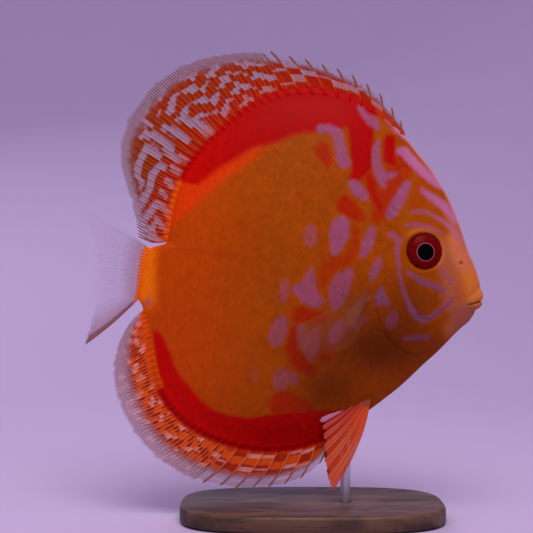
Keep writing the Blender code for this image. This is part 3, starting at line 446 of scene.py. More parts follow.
def painted(x, z):
    """The marks of skin and scales at side-view points, in plain numbers that the paint turns to colour."""
    angle, radius = polar(x, z)
    turn = np.mod(angle, 360)
    rim_away = around(OUTLINE, 1, angle) - radius
    x, z = as_drawn(x, z)
    violet_gap, strength, weight = np.full(np.shape(x), 1e3), np.zeros(np.shape(x)), np.zeros(np.shape(x))
    for power, *stroke in VIOLET_STROKES:
        gap = stroke_away(x, z, stroke)
        share = np.exp(-np.clip(gap, -2, 30) / 0.6) + 1e-12
        strength, weight = strength + power * share, weight + share
        violet_gap = np.minimum(violet_gap, gap)
    red = np.zeros(np.shape(x))
    for power, *stroke in RED_STROKES:
        red = np.maximum(red, power * smooth(2.2, -1.2, stroke_away(x, z, stroke)))
    back, glow, belly = (radius - through(*zip(*band), np.clip(turn, band[0][0], band[-1][0]))
                         for band in (BACK_BAND, GLOW_BAND, BELLY_BAND))
    warm = smooth(-2.6, 2.2, glow) * smooth(95, 125, turn) * smooth(176, 168, turn)
    red = np.maximum(red, smooth(-3.2, 2.4, back) * smooth(52, 66, turn) * smooth(150, 142, turn))
    red = np.maximum(red, smooth(-2.0, 1.6, belly) * smooth(200, 205, turn) * smooth(305, 280, turn)
                     * np.where(turn < 222, smooth(0.7, 2.2, rim_away), 1))
    # Painted shade on the lower front, partly its darker pigment
    shade = np.zeros(np.shape(x))
    for at_x, at_z, spread_x, spread_z, power in SHADES:
        away = ((x - at_x) / spread_x) ** 2 + ((z - at_z) / spread_z) ** 2
        shade = 1 - (1 - shade) * (1 - power * np.exp(-away))
    from_eye = np.hypot(x - EYE_AT[0], z - EYE_AT[1])
    mouth, _ = line_away(x, z, (MOUTH_FRONT, MOUTH_CORNER))
    stalk = smooth(-48.0, -52.5, x) * smooth(17, 8, np.abs(z + 2))
    from_nose = np.where(turn > 180, turn - 360, turn)
    ahead = smooth(-12, 6, from_nose) * smooth(62, 50, from_nose)
    return {
        "violet_gap": violet_gap, "violet_share": strength / weight, "red": red, "warm": warm, "shade": shade,
        "snout": smooth(3.0, -3.0, stroke_away(x, z, SNOUT_STROKE)), "stalk": stalk,
        "face": smooth(2.5, -2.5, stroke_away(x, z, FACE_STROKE)),
        # The next line's two marks are painted light: the marks lighter near the front and upper rim, as lit
        # from above, and a pink highlight along the very edge, where light shows through the thin rim
        "lit_front_rim": ahead * smooth(11, 2, rim_away), "rim_highlight": ahead * smooth(1.1, 0.2, rim_away),
        "cool": smooth(22, 29, x) * smooth(2, -8, z), "dusty": smooth(14, 2, x) * smooth(-16, -24, z),
        "rear": smooth(-5, -45, x), "temple": smooth(2.2, -1.2, stroke_away(x, z, TEMPLE_STROKE)),
        "lid": np.exp(-(((from_eye - 7.3) / 0.9) ** 2)) * smooth(-3, 5, (x - EYE_AT[0]) + (z - EYE_AT[1])),
        "slit": np.exp(-((mouth / 0.22) ** 2)) * smooth(57, 59.5, x),
        "chin": smooth(-10, -17, z) * smooth(50, 56, x),
    }


ORANGE = (0.42, 0.076, 0.0010, 1)
ORANGE_DEEP = (0.38, 0.066, 0.0008, 1)
ORANGE_REAR = (0.58, 0.066, 0.0010, 1)
ORANGE_WARM = (0.84, 0.046, 0.0010, 1)
SIGNAL_RED = (0.46, 0.0006, 0.0006, 1)
RED_REAR = (0.60, 0.0022, 0.0006, 1)
VIOLET_PINK = (0.37, 0.090, 0.160, 1)
# Painted light: the violet as lit from above near the front and upper rim
VIOLET_LIT = (0.52, 0.155, 0.285, 1)
VIOLET_COOL = (0.26, 0.084, 0.175, 1)
VIOLET_DUSTY = (0.36, 0.086, 0.084, 1)
# Painted highlight along the thin front and upper edge
RIM_HIGHLIGHT = (0.80, 0.37, 0.38, 1)
FACE_TAN = (0.45, 0.115, 0.052, 1)
# Dark brown that the painted shade, and the belly's darker pigment, blend towards
UMBER_AND_SHADE = (0.108, 0.0165, 0.0012, 1)
SNOUT_TAN = (0.72, 0.205, 0.030, 1)
TEMPLE_PINK = (0.62, 0.170, 0.100, 1)
CHIN_ROSE = (0.38, 0.105, 0.062, 1)
STALK_AMBER = (0.95, 0.180, 0.0020, 1)


def mark(tree, name):
    return add(tree, "Attribute", attribute_name=name).outputs["Fac"]


def paint(tree):
    """Colour of skin and scales from their marks, with soft, slightly ragged edges."""
    mottle = grain(tree, 5 * MM, 3, seed=1.0)
    ragged = maths(tree, "MULTIPLY", maths(tree, "SUBTRACT", grain(tree, 2.2 * MM, 3, seed=2.0), 0.5), 1.5)
    colour = blend(tree, fade(tree, mottle, 0.3, 0.7), ORANGE_DEEP, ORANGE)
    colour = blend(tree, mark(tree, "rear"), colour, ORANGE_REAR)
    colour = blend(tree, maths(tree, "MULTIPLY", mark(tree, "warm"), 0.9), colour, ORANGE_WARM)
    colour = blend(tree, mark(tree, "stalk"), colour, STALK_AMBER)
    red = maths(tree, "ADD", mark(tree, "red"), maths(tree, "MULTIPLY", ragged, 0.12))
    deep = blend(tree, mark(tree, "rear"), SIGNAL_RED, RED_REAR)
    colour = blend(tree, fade(tree, red, 0.08, 0.92), colour, deep)
    colour = blend(tree, maths(tree, "MULTIPLY", mark(tree, "face"), 0.85), colour, FACE_TAN)
    colour = blend(tree, maths(tree, "MULTIPLY", mark(tree, "snout"), 0.9), colour, SNOUT_TAN)
    colour = blend(tree, maths(tree, "MULTIPLY", mark(tree, "temple"), 0.6), colour, TEMPLE_PINK)
    colour = blend(tree, maths(tree, "MULTIPLY", mark(tree, "chin"), 0.9), colour, CHIN_ROSE)
    colour = blend(tree, maths(tree, "MULTIPLY", mark(tree, "lid"), 0.55), colour, SNOUT_TAN)
    # Painted shade over the lower front, partly the belly's darker brown
    shade = maths(tree, "ADD", mark(tree, "shade"), maths(tree, "MULTIPLY", ragged, 0.08))
    colour = blend(tree, fade(tree, shade, 0.0, 1.0, 0.0, 0.96), colour, UMBER_AND_SHADE)
    gap = maths(tree, "ADD", mark(tree, "violet_gap"), maths(tree, "MULTIPLY", ragged, 0.5))
    violet = maths(tree, "MULTIPLY", fade(tree, gap, 0.95, -0.85), mark(tree, "violet_share"))
    # Painted light: the violet made lighter near the front and upper rim, as lit from above
    tint = blend(tree, mark(tree, "lit_front_rim"), VIOLET_PINK, VIOLET_LIT)
    tint = blend(tree, mark(tree, "cool"), blend(tree, mark(tree, "dusty"), tint, VIOLET_DUSTY), VIOLET_COOL)
    # Violet marks darkened by the painted shade
    shaded_violet = blend(tree, maths(tree, "MULTIPLY", mark(tree, "shade"), 0.75), tint, (0.150, 0.036, 0.052, 1))
    colour = blend(tree, violet, colour, shaded_violet)
    # A painted pink highlight along the very edge of the front and upper rim, where light shows through
    return blend(tree, maths(tree, "MULTIPLY", mark(tree, "rim_highlight"), 0.6), colour, RIM_HIGHLIGHT), mottle


hide, tree, shader = new_finish("painted_hide", shine=0.035)
colour, mottle = paint(tree)
# A painted dark line along the mouth slit: shade in the groove between the lips
colour = blend(tree, maths(tree, "MULTIPLY", mark(tree, "slit"), 0.7), colour, (0.055, 0.010, 0.006, 1))
tree.links.new(colour, shader.inputs["Base Color"])
tree.links.new(fade(tree, mottle, 0.2, 0.8, 0.40, 0.52), shader.inputs["Roughness"])
relieve(tree, shader, grain(tree, 0.45 * MM, 4, seed=5.0), 0.035 * MM)

spokes = np.concatenate([
    np.arange(-42, -19, 0.45), np.arange(-19, -16, 0.22), np.arange(-16, -7, 0.13), np.arange(-7, -4, 0.22),
    np.arange(-4, 62, 0.45), np.arange(62, 318, 1.1),
])
dense = np.cumsum(np.concatenate([[0.0], np.interp(np.linspace(0, 1, 128), (0, 0.18, 0.30, 0.80, 0.92, 1),
                                                   (2.2, 1.6, 0.85, 0.62, 0.45, 0.16))]))
shares = dense[1:] / dense[-1]
rounds = np.sin(np.radians(np.arange(15, 91, 15)))
edge, rim = around(EDGE_HALF, 1, spokes), around(OUTLINE, 1, spokes)
radius = np.concatenate([shares[:, None] * (rim - edge), rim - edge + rounds[:, None] * edge])
flat_x, flat_z = radius * np.cos(np.radians(spokes)), radius * np.sin(np.radians(spokes))
half = np.maximum(hide_half(flat_x, flat_z) - COAT_DEPTH * smooth(0, 1, hide_half(flat_x, flat_z, False)), 0)
half[-1] = 0
levels, turns = half.shape


UPPER_LIP, LOWER_LIP = 1.10, 1.55


def lip_swell(x, z):
    """Height of the lips, which taper to the corner of the mouth, and the slit between them."""
    front, corner = np.array(MOUTH_FRONT), np.array(MOUTH_CORNER)
    reach = np.linalg.norm(corner - front)
    along_x, along_z = (corner - front) / reach
    along = (x - front[0]) * along_x + (z - front[1]) * along_z
    across = (x - front[0]) * along_z - (z - front[1]) * along_x
    taper = np.interp(along, (-1, 0, reach), (1, 1, 0.5))
    full = np.where(across > 0, UPPER_LIP, LOWER_LIP)
    across = np.abs(across) / taper
    lips = full * np.exp(-((across / 3.1) ** 4)) - 0.16 * np.exp(-(((across - 4.6) / 0.8) ** 2))
    slit = -0.80 * np.exp(-((across * taper / 0.28) ** 2))
    lips = lips * taper * smooth(reach + 1.8, reach - 1.4, along)
    return (lips + slit * smooth(reach + 0.4, reach - 0.8, along)) * smooth(52, 56, x)


def disc_points(x, side_y, z):
    """Points in the part's frame from side-view millimetres."""
    return np.stack([x + DISC_X, side_y, z + DISC_Z], -1) * MM


points = np.concatenate([
    disc_points(flat_x, -half, flat_z).reshape(-1, 3),
    disc_points(flat_x[:-1], half[:-1], flat_z[:-1]).reshape(-1, 3),
    disc_points(np.zeros(2), np.array([-1, 1]) * (HALF_WIDTH - COAT_DEPTH), np.zeros(2)),
])
right = np.arange(levels * turns).reshape(levels, turns)
left = np.concatenate([right[:-1] + levels * turns, right[-1:]])
faces = []
for grid, flip, centre in ((right, 1, len(points) - 2), (left, -1, len(points) - 1)):
    inner, outer = grid[:-1], grid[1:]
    inner_next, outer_next = np.roll(inner, -1, 1), np.roll(outer, -1, 1)
    quads = np.stack([inner, outer, outer_next, inner_next][::flip], -1).reshape(-1, 4)
    middle = np.stack([np.full(turns, centre), grid[0], np.roll(grid[0], -1)][::flip], -1)
    faces += quads.tolist() + middle.tolist()
flat = np.stack([flat_x, flat_z], -1)
flat = np.concatenate([flat.reshape(-1, 2), flat[:-1].reshape(-1, 2), np.zeros((2, 2))])
skin = mesh_piece("skin", points, faces, hide, painted(flat[:, 0], flat[:, 1]), sharp=180)
normals = np.zeros(len(points) * 3, np.float32)
skin.data.vertex_normals.foreach_get("vector", normals)
points += normals.reshape(-1, 3) * lip_swell(flat[:, 0], flat[:, 1])[:, None] * MM
skin.data.vertices.foreach_set("co", points.ravel())
skin.data.update()
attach(skin, "root")
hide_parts("head", "lower_jaw", "torso", "tail_stalk", "gill_cover_left", "gill_cover_right")

# Scales: thin horn-like plates of about two millimetres, laid in staggered rows from head to tail and
# over the fins' feet, each tucked under the ones before it. Cheek and gill cover have smaller ones.
SCALE_PITCH = 0.031
ROW_PITCH = 0.0166
HEAD_PITCH = 1.30
HEAD_ROW = 0.74
SCALE_LIFT, HEAD_SCALE_LIFT = 0.10, 0.07
PLATE_LONG, HEAD_PLATE_LONG = 0.88, 0.86
PLATE_WIDE = 1.12
NAKED_IN_FRONT = ((-60, 50), (-45, 46), (-36, 42.5), (-31, 38.5), (-26, 30.4), (-16.5, 25.2), (-7, 24.2),
                  (1.5, 25.6), (9, 28.2), (13, 31.0), (17.5, 33.7), (29.7, 35.8), (43.7, 37.9), (60, 40))
rng = np.random.default_rng(11)


def scale_plates(spots, place, long, wide, lift):
    """Points, faces, roots and marks of many plates. Each is a curved tongue with a rounded rear edge
    and a skirt. spots are roots on a flat sheet, and place lays that sheet on the flank."""
    across = np.array([-1, -0.55, 0, 0.55, 1])
    reach = np.sqrt(1 - (0.86 * across) ** 2)
    rows = ((0.0, -0.06, 0.0), (0.55, 0.6, 0.35), (1.0, 1.0, 1.0), (1.0, -0.9, 1.0))
    back, over, high, edge_line = [], [], [], []
    for share, height, line in rows:
        back.append(0.45 - share * (0.45 + reach))
        over.append(across * (0.86 + 0.14 * share))
        high.append(np.full(5, height) - 0.25 * across**2 * share)
        edge_line.append(np.full(5, line))
    back, over, high, edge_line = (np.concatenate(v) for v in (back, over, high, edge_line))
    count = len(spots)
    turned = rng.normal(0, 0.05, count)[:, None]
    size = rng.normal(1, 0.035, count)[:, None]
    step_p = (back * np.cos(turned) * long - over * np.sin(turned) * wide) * size
    step_q = (back * np.sin(turned) * long + over * np.cos(turned) * wide) * size
    x, z, y, normal = place(spots[:, 0:1] + step_p, spots[:, 1:2] + step_q)
    flat = np.stack([x, y, z], -1) + normal * (high * lift)[None, :, None]
    patch = [(r * 5 + c, r * 5 + c + 1, r * 5 + c + 6, r * 5 + c + 5) for r in range(3) for c in range(4)]
    faces = (np.array(patch)[None] + np.arange(count)[:, None, None] * 20).reshape(-1, 4)
    marks = painted(x.ravel(), z.ravel())
    marks["scale_tone"] = np.repeat(rng.normal(0, 1, count), 20)
    marks["scale_edge"] = np.tile(edge_line, count)
    spread = np.stack([over, back], -1)
    return flat.reshape(-1, 3), faces, marks, spread


def on_flank(x, z, side):
    """Flank point and outward normal at side-view places, just where the coat's plates lie."""
    step = 0.25
    half = hide_half(x, z) - COAT_DEPTH * 0.6
    slope_x = (hide_half(x + step, z) - hide_half(x - step, z)) / (2 * step)
    slope_z = (hide_half(x, z + step) - hide_half(x, z - step)) / (2 * step)
    normal = np.stack([-slope_x, np.ones_like(slope_x), -slope_z], -1)
    normal /= np.linalg.norm(normal, axis=-1, keepdims=True)
    return side * half, normal * (1, side, 1)


def swelled_disc(p, q):
    """Side-view place for a place on the unit disc, where the rows draw together towards the rim."""
    share = np.minimum(np.hypot(p, q), 0.9995)
    angle = np.degrees(np.arctan2(q, p))
    radius = around(OUTLINE, 1, angle) * share * (1.12 - 0.12 * share**2)
    return radius * np.cos(np.radians(angle)), radius * np.sin(np.radians(angle))


horn, tree, shader = new_finish("painted_scales", shine=0.04)
colour, _ = paint(tree)
tone = maths(tree, "MULTIPLY", mark(tree, "scale_tone"), 0.045)
edge_dark = maths(tree, "MULTIPLY", mark(tree, "scale_edge"), -0.10)
value = maths(tree, "ADD", maths(tree, "ADD", tone, edge_dark), 1.03)
colour = add(tree, "HueSaturation", {"Color": colour, "Value": value}).outputs[0]
tree.links.new(colour, shader.inputs["Base Color"])
tree.links.new(fade(tree, mark(tree, "scale_tone"), -2, 2, 0.36, 0.48), shader.inputs["Roughness"])
ribs = grain(tree, 0.30 * MM, 2, (0.35, 1, 1), 9.0)
relieve(tree, shader, ribs, 0.02 * MM)


def unwrapped(x, z, spread, size=0.0015):
    """Bake map of a flank: a small patch for each plate, at its root's angle and share of the radius."""
    angle, radius = polar(x, z)
    share = 0.46 * radius / around(OUTLINE, 1, angle)
    centre = np.stack([0.5 + share * np.cos(np.radians(angle)), 0.5 + share * np.sin(np.radians(angle))], -1)
    return (centre[:, None, :] + spread[None] * size).reshape(-1, 2)


def coat_piece(name, flat, faces, marks, maps):
    made = mesh_piece(name, flat, faces, horn, marks, sharp=40)
    layer = made.data.uv_layers.new(name="OFBake")
    corner = np.zeros(len(made.data.loops), np.int32)
    made.data.loops.foreach_get("vertex_index", corner)
    layer.uv.foreach_set("vector", maps[corner].astype(np.float32).ravel())
    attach(made, "root")
    return made


def part_frame(flat):
    return (flat + (DISC_X, 0, DISC_Z)) * MM


rows = np.arange(-int(1 / ROW_PITCH), int(1 / ROW_PITCH) + 1)
columns = np.arange(-int(1 / SCALE_PITCH) - 1, int(1 / SCALE_PITCH) + 2)
row, column = (g.ravel() for g in np.meshgrid(rows, columns, indexing="ij"))
sheet_p, sheet_q = (column + 0.5 * (row % 2)) * SCALE_PITCH, row * ROW_PITCH
inside = np.hypot(sheet_p, sheet_q) < 0.992
root_x, root_z = swelled_disc(sheet_p, sheet_q)
covered = inside & (root_x < np.interp(root_z, *zip(*NAKED_IN_FRONT)))
body_spots = np.stack([sheet_p, sheet_q], -1)[covered]
body_roots = np.stack([root_x, root_z], -1)[covered]

grid_x, grid_z = np.meshgrid(np.arange(26, 54, HEAD_PITCH), np.arange(-30, 14, HEAD_ROW), indexing="ij")
grid_x = grid_x + HEAD_PITCH / 2 * (np.arange(grid_x.shape[1]) % 2)
head_x, head_z = grid_x.ravel(), grid_z.ravel()
gill_gap, gill_run = line_away(head_x, head_z, eased(GILL_EDGE))
cheek_gap, cheek_run = line_away(head_x, head_z, eased([p[:2] for p in CHEEK_LINE]))
from_eye = np.hypot(head_x - EYE_AT[0], head_z - EYE_AT[1])
on_cover = (gill_gap > 1.3) & (cheek_gap < -1.3) & (gill_run > 4)
on_cover &= (head_z > -26) & (head_z < 9) & (head_x < 46)
on_cheek = (cheek_gap > 1.3) & (cheek_run > 6) & (from_eye > 8.6)
on_cheek &= (head_z < -4) & (head_x < 50.5) & (head_z > -19)
head_spots = np.stack([head_x, head_z], -1)[on_cover | on_cheek]

for side, word in ((-1, "right"), (1, "left")):
    def lay_on_disc(p, q):
        x, z = swelled_disc(p, q)
        y, normal = on_flank(x, z, side)
        return x, z, y, normal

    def lay_on_head(p, q):
        y, normal = on_flank(p, q, side)
        return p, q, y, normal

    plate = SCALE_PITCH * PLATE_LONG, ROW_PITCH * PLATE_WIDE, SCALE_LIFT
    flat, faces, marks, spread = scale_plates(body_spots, lay_on_disc, *plate)
    maps = unwrapped(body_roots[:, 0], body_roots[:, 1], spread)
    coat_piece("scales_" + word, part_frame(flat), faces, marks, maps)
    plate = HEAD_PITCH * HEAD_PLATE_LONG, HEAD_ROW * PLATE_WIDE, HEAD_SCALE_LIFT
    flat, faces, marks, spread = scale_plates(head_spots, lay_on_head, *plate)
    maps = unwrapped(head_spots[:, 0], head_spots[:, 1], spread)
    coat_piece("cheek_scales_" + word, part_frame(flat), faces, marks, maps)

# Eyes: glass eyes with a red iris painted behind the lens, a thin pale ring round the black pupil and a
# soft dark rim, set into the orbit with wax. Millimetres.
PUPIL_RADIUS = 2.86
PALE_RING = 3.15
PUPIL_AT = (0.02, -0.45)
EYE_DOME = 2.0
EYE_BACK = 3.4
EYE_SUNK = 0.45
IRIS_RED = (0.20, 0.0016, 0.0022, 1)
IRIS_DEEP = (0.105, 0.0008, 0.0012, 1)

glass_eye, tree, shader = new_finish("glass_eye", roughness=0.28, shine=0.02)
shader.inputs["Coat Weight"].default_value = 0.02
shader.inputs["Coat Roughness"].default_value = 0.12
from_middle = mark(tree, "iris_radius")
outward = maths(tree, "MULTIPLY", from_middle, 0.25)
spun = add(tree, "CombineXYZ", {0: mark(tree, "fibre_x"), 1: mark(tree, "fibre_y"), 2: outward}).outputs[0]
fibre = add(tree, "TexNoise", {"Vector": spun, "Scale": 9.0, "Detail": 4.0}).outputs["Fac"]
colour = blend(tree, fade(tree, fibre, 0.3, 0.7), IRIS_DEEP, IRIS_RED)
rim_dark = fade(tree, mark(tree, "rim_radius"), 5.0, 6.0, 0, 0.2)
colour = blend(tree, rim_dark, colour, (0.060, 0.0012, 0.0015, 1))
ring = maths(tree, "MULTIPLY", fade(tree, from_middle, PUPIL_RADIUS, PUPIL_RADIUS + 0.1),
             fade(tree, from_middle, PALE_RING + 0.12, PALE_RING))
colour = blend(tree, maths(tree, "MULTIPLY", ring, 0.7), colour, (0.40, 0.105, 0.125, 1))
pupil = fade(tree, from_middle, PUPIL_RADIUS + 0.03, PUPIL_RADIUS - 0.05)
colour = blend(tree, pupil, colour, (0.0008, 0.0008, 0.001, 1))
tree.links.new(colour, shader.inputs["Base Color"])

steps = np.concatenate([np.linspace(0.03, 0.34, 8), np.linspace(0.36, 0.60, 22), np.linspace(0.63, 0.96, 10),
                        (0.985, 1.0)])
profile = [(r, EYE_DOME * (1 - r**2.6) ** 0.85) for r in steps]
profile += [(math.sin(a), -EYE_BACK * math.cos(a)) for a in np.radians(np.arange(80, 0, -10))]
turn = np.radians(np.arange(0, 360, 3))
for side, word in ((-1, "right"), (1, "left")):
    flank_half = float(hide_half(np.array([EYE_AT[0]]), np.array([EYE_AT[1]]), False)[0])
    step = 0.5
    slope_x = (hide_half(np.array([EYE_AT[0] + step]), np.array([EYE_AT[1]]), False)[0] - flank_half) / step
    slope_z = (hide_half(np.array([EYE_AT[0]]), np.array([EYE_AT[1] + step]), False)[0] - flank_half) / step
    axis = Vector((-slope_x, side, -slope_z)).normalized()
    ahead = axis.cross(Vector((0, 0, 1))).normalized()
    upward = ahead.cross(axis)
    centre = Vector((EYE_AT[0], side * flank_half, EYE_AT[1])) - axis * EYE_SUNK
    rings = []
    for reach, out in profile:
        ring = (np.array(centre) + np.outer(np.cos(turn) * reach * EYE_RADIUS, ahead)
                + np.outer(np.sin(turn) * reach * EYE_RADIUS, upward) + np.array(axis) * out)
        rings.append(ring)
    front, back = np.array(centre + axis * EYE_DOME), np.array(centre - axis * EYE_BACK)
    points = np.concatenate([front[None], *rings, back[None]])
    count, last = len(turn), len(points) - 1
    faces = [(0, 1 + i, 1 + (i + 1) % count) for i in range(count)]
    for level in range(len(rings) - 1):
        a, b = 1 + level * count, 1 + (level + 1) * count
        faces += [(a + i, b + i, b + (i + 1) % count, a + (i + 1) % count) for i in range(count)]
    faces += [(last, last - count + (i + 1) % count, last - count + i) for i in range(count)]
    if side > 0:
        faces = [face[::-1] for face in faces]
    away = points - np.array(centre)
    flat_x, flat_z = away @ np.array(ahead) * side * -1, away @ np.array(upward)
    in_front = away @ np.array(axis) > -0.3
    reach = np.where(in_front, np.hypot(flat_x - PUPIL_AT[0], flat_z - PUPIL_AT[1]), EYE_RADIUS)
    spin = np.arctan2(flat_z - PUPIL_AT[1], flat_x - PUPIL_AT[0])
    marks = {"iris_radius": reach, "rim_radius": np.where(in_front, np.hypot(flat_x, flat_z), EYE_RADIUS),
             "fibre_x": np.cos(spin), "fibre_y": np.sin(spin)}
    eye = mesh_piece("glass_eye_" + word, part_frame(points), faces, glass_eye, marks, sharp=60)
    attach(eye, "root")
    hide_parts("eye_" + word)

# Back fin: stiff pointed spines in front, then soft rays that fork twice, with a thin web between them.
# It is cast in clear resin and painted in red and brown blocks between the rays, which leave a maze of
# clear lilac windows, and it is let into the back. Millimetres.
FIN_SINK = 1.4
SWAY = 0.6
SWAYS = 3.0
WEB_ROOT, WEB_MARGIN = 0.15, 0.05
RAY_ROOT, RAY_MARGIN = 0.32, 0.08
SPINE_NOTCH = 1.3
FRINGE_NOTCH = 1.1
PER_RAY = 16
DORSAL_RAYS = (
    (49.8, 52.4, -0.04), (60, 64.5, -0.06), (70, 76, -0.06), (90, 97.5, -0.05), (110, 115.5, -0.03),
    (131.5, 135.5, 0.0), (150, 150.5, 0.02), (158.5, 156.5, 0.03), (165, 163.5, 0.07), (169.3, 170.3, 0.12),
)
DORSAL_MARGIN = (
    (50, 58.5), (56.5, 62.6), (65, 66.3), (75, 69.2), (84.5, 71.2), (92.5, 73.3), (100.5, 75.6),
    (108, 78.0), (115.5, 80.0), (123.5, 81.2), (130.5, 80.8), (137.5, 79.3), (144, 76.9),
    (149, 73.6), (153, 69.4), (159, 63.6), (165.5, 59.4), (170.5, 57.6),
)
DORSAL_SPLIT = 92.0
DORSAL_SPINES, DORSAL_SOFT = 10, 30
# Clear windows of the rear part, as strokes: side-view points with the half width there
DORSAL_WINDOWS = (
    ((-36.6, 50.7, 1.1), (-33.8, 47.9, 1.4), (-31.4, 46.2, 1.3), (-28.9, 45.1, 1.0)),
    ((-42.9, 51.8, 1.0), (-40.8, 50.9, 1.2), (-38.0, 49.1, 0.9)),
    ((-47.5, 48.1, 0.8), (-45.4, 47.4, 1.0), (-42.6, 45.5, 1.1), (-39.4, 43.2, 0.8)),
    ((-55.5, 44.8, 0.7), (-53.8, 45.6, 1.0), (-51.3, 45.1, 1.1), (-48.2, 43.0, 1.1), (-45.0, 40.6, 0.9)),
    ((-57.6, 51.9, 0.6), (-54.8, 50.5, 0.8), (-52.0, 48.6, 0.6)),
    ((-53.4, 41.3, 1.1), (-51.3, 39.9, 1.3), (-49.2, 38.1, 1.0)),
    ((-53.1, 41.3, 1.0), (-54.8, 38.5, 1.0), (-56.2, 35.7, 1.0), (-56.8, 33.2, 1.0), (-56.8, 31.1, 0.8)),
    ((-47.1, 40.2, 0.8), (-45.0, 38.5, 0.9), (-42.6, 36.4, 0.7)),
    ((-41.9, 37.8, 0.5), (-39.1, 36.4, 0.6)),
    ((-44.3, 34.3, 0.8), (-42.6, 33.0, 0.9), (-40.8, 31.8, 0.7)),
    ((-47.5, 33.9, 0.8), (-48.9, 34.8, 0.8), (-50.6, 32.9, 1.0), (-51.9, 30.8, 1.0), (-52.2, 28.3, 1.0),
     (-52.6, 26.2, 1.0)),
    ((-52.6, 26.2, 1.0), (-53.8, 24.5, 1.2), (-54.8, 22.7, 1.1), (-56.1, 21.0, 1.0), (-57.3, 19.6, 0.9)),
    ((-55.9, 29.7, 0.6), (-55.0, 28.7, 0.6), (-55.9, 26.9, 0.6)),
    ((-46.4, 29.7, 0.7), (-45.6, 28.7, 0.9), (-44.7, 27.3, 0.7)),
    ((-48.5, 25.9, 0.6), (-47.8, 24.8, 0.9), (-46.8, 23.6, 0.6)),
    ((-49.9, 21.7, 0.9), (-47.8, 20.3, 1.0), (-46.1, 18.5, 1.0), (-45.4, 17.1, 0.7)),
    ((-49.6, 21.7, 0.9), (-51.3, 19.9, 1.0), (-52.7, 18.0, 1.0), (-54.1, 16.2, 1.0), (-55.9, 15.0, 1.0)),
    ((-50.3, 15.7, 0.6), (-48.5, 14.0, 0.8), (-46.1, 12.0, 0.8)),
    ((-49.9, 15.4, 0.6), (-51.3, 13.6, 0.8), (-52.7, 11.9, 1.0), (-54.8, 12.2, 1.4)),
    ((-52.4, 10.8, 1.0), (-50.3, 9.1, 1.0), (-48.9, 7.7, 1.0)),
)
FIN_AMBER = (0.80, 0.125, 0.0025, 1)
BLOCK_RED = (0.42, 0.013, 0.002, 1)
BLOCK_BROWN = (0.26, 0.032, 0.002, 1)
WINDOW_ROSE = (0.55, 0.17, 0.14, 1)
WINDOW_LILAC = (0.42, 0.25, 0.31, 1)
RAY_TAN = (0.48, 0.110, 0.035, 1)
RAY_PALE = (0.42, 0.21, 0.20, 1)


def ray_crest(turn, share, forked):
    """Height of a ray across its pitch, 1 on its crest: a spine stays single, a soft ray forks twice."""
    first = forked * 0.25 * smooth(0.0, 0.30, share)
    second = forked * 0.125 * smooth(0.45, 0.90, share)
    width = 0.115 - 0.030 * share - 0.035 * forked * smooth(0.1, 0.8, share)
    best = np.zeros(np.broadcast(turn, share).shape)
    for one in (-1, 1):
        for two in (-1, 1):
            best = np.maximum(best, np.exp(-(((turn - 0.5 - one * first - two * second) / width) ** 2)))
    return best


def fin_piece(name, middle, across, half, finish, marks):
    """A fin as one closed sheet from grids of middle points, sideways directions and half thickness."""
    wide, high = half.shape
    count = wide * high
    points = np.concatenate([(middle - across * half[..., None]).reshape(-1, 3),
                             (middle + across * half[..., None]).reshape(-1, 3)])
    grid = np.arange(count).reshape(wide, high)
    near, far = grid[:-1, :-1], grid[1:, 1:]
    front = np.stack([near, grid[1:, :-1], far, grid[:-1, 1:]], -1).reshape(-1, 4)
    border = np.concatenate([grid[:, 0], grid[-1, 1:], grid[-2::-1, -1], grid[0, -2:0:-1]])
    after = np.roll(border, -1)
    walls = np.stack([border, border + count, after + count, after], -1)
    faces = np.concatenate([front, front[:, ::-1] + count, walls])
    a, b, c, d = (points[faces[:, k]] for k in range(4))
    volume = np.einsum("ij,ij->i", a, np.cross(b, c)).sum() + np.einsum("ij,ij->i", a, np.cross(c, d)).sum()
    faces = faces if volume > 0 else faces[:, ::-1]
    doubled = {mark_name: np.concatenate([np.ravel(v), np.ravel(v)]) for mark_name, v in marks.items()}
    made = mesh_piece(name, part_frame(points), faces, finish, doubled, sharp=60)
    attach(made, "root")
    return made


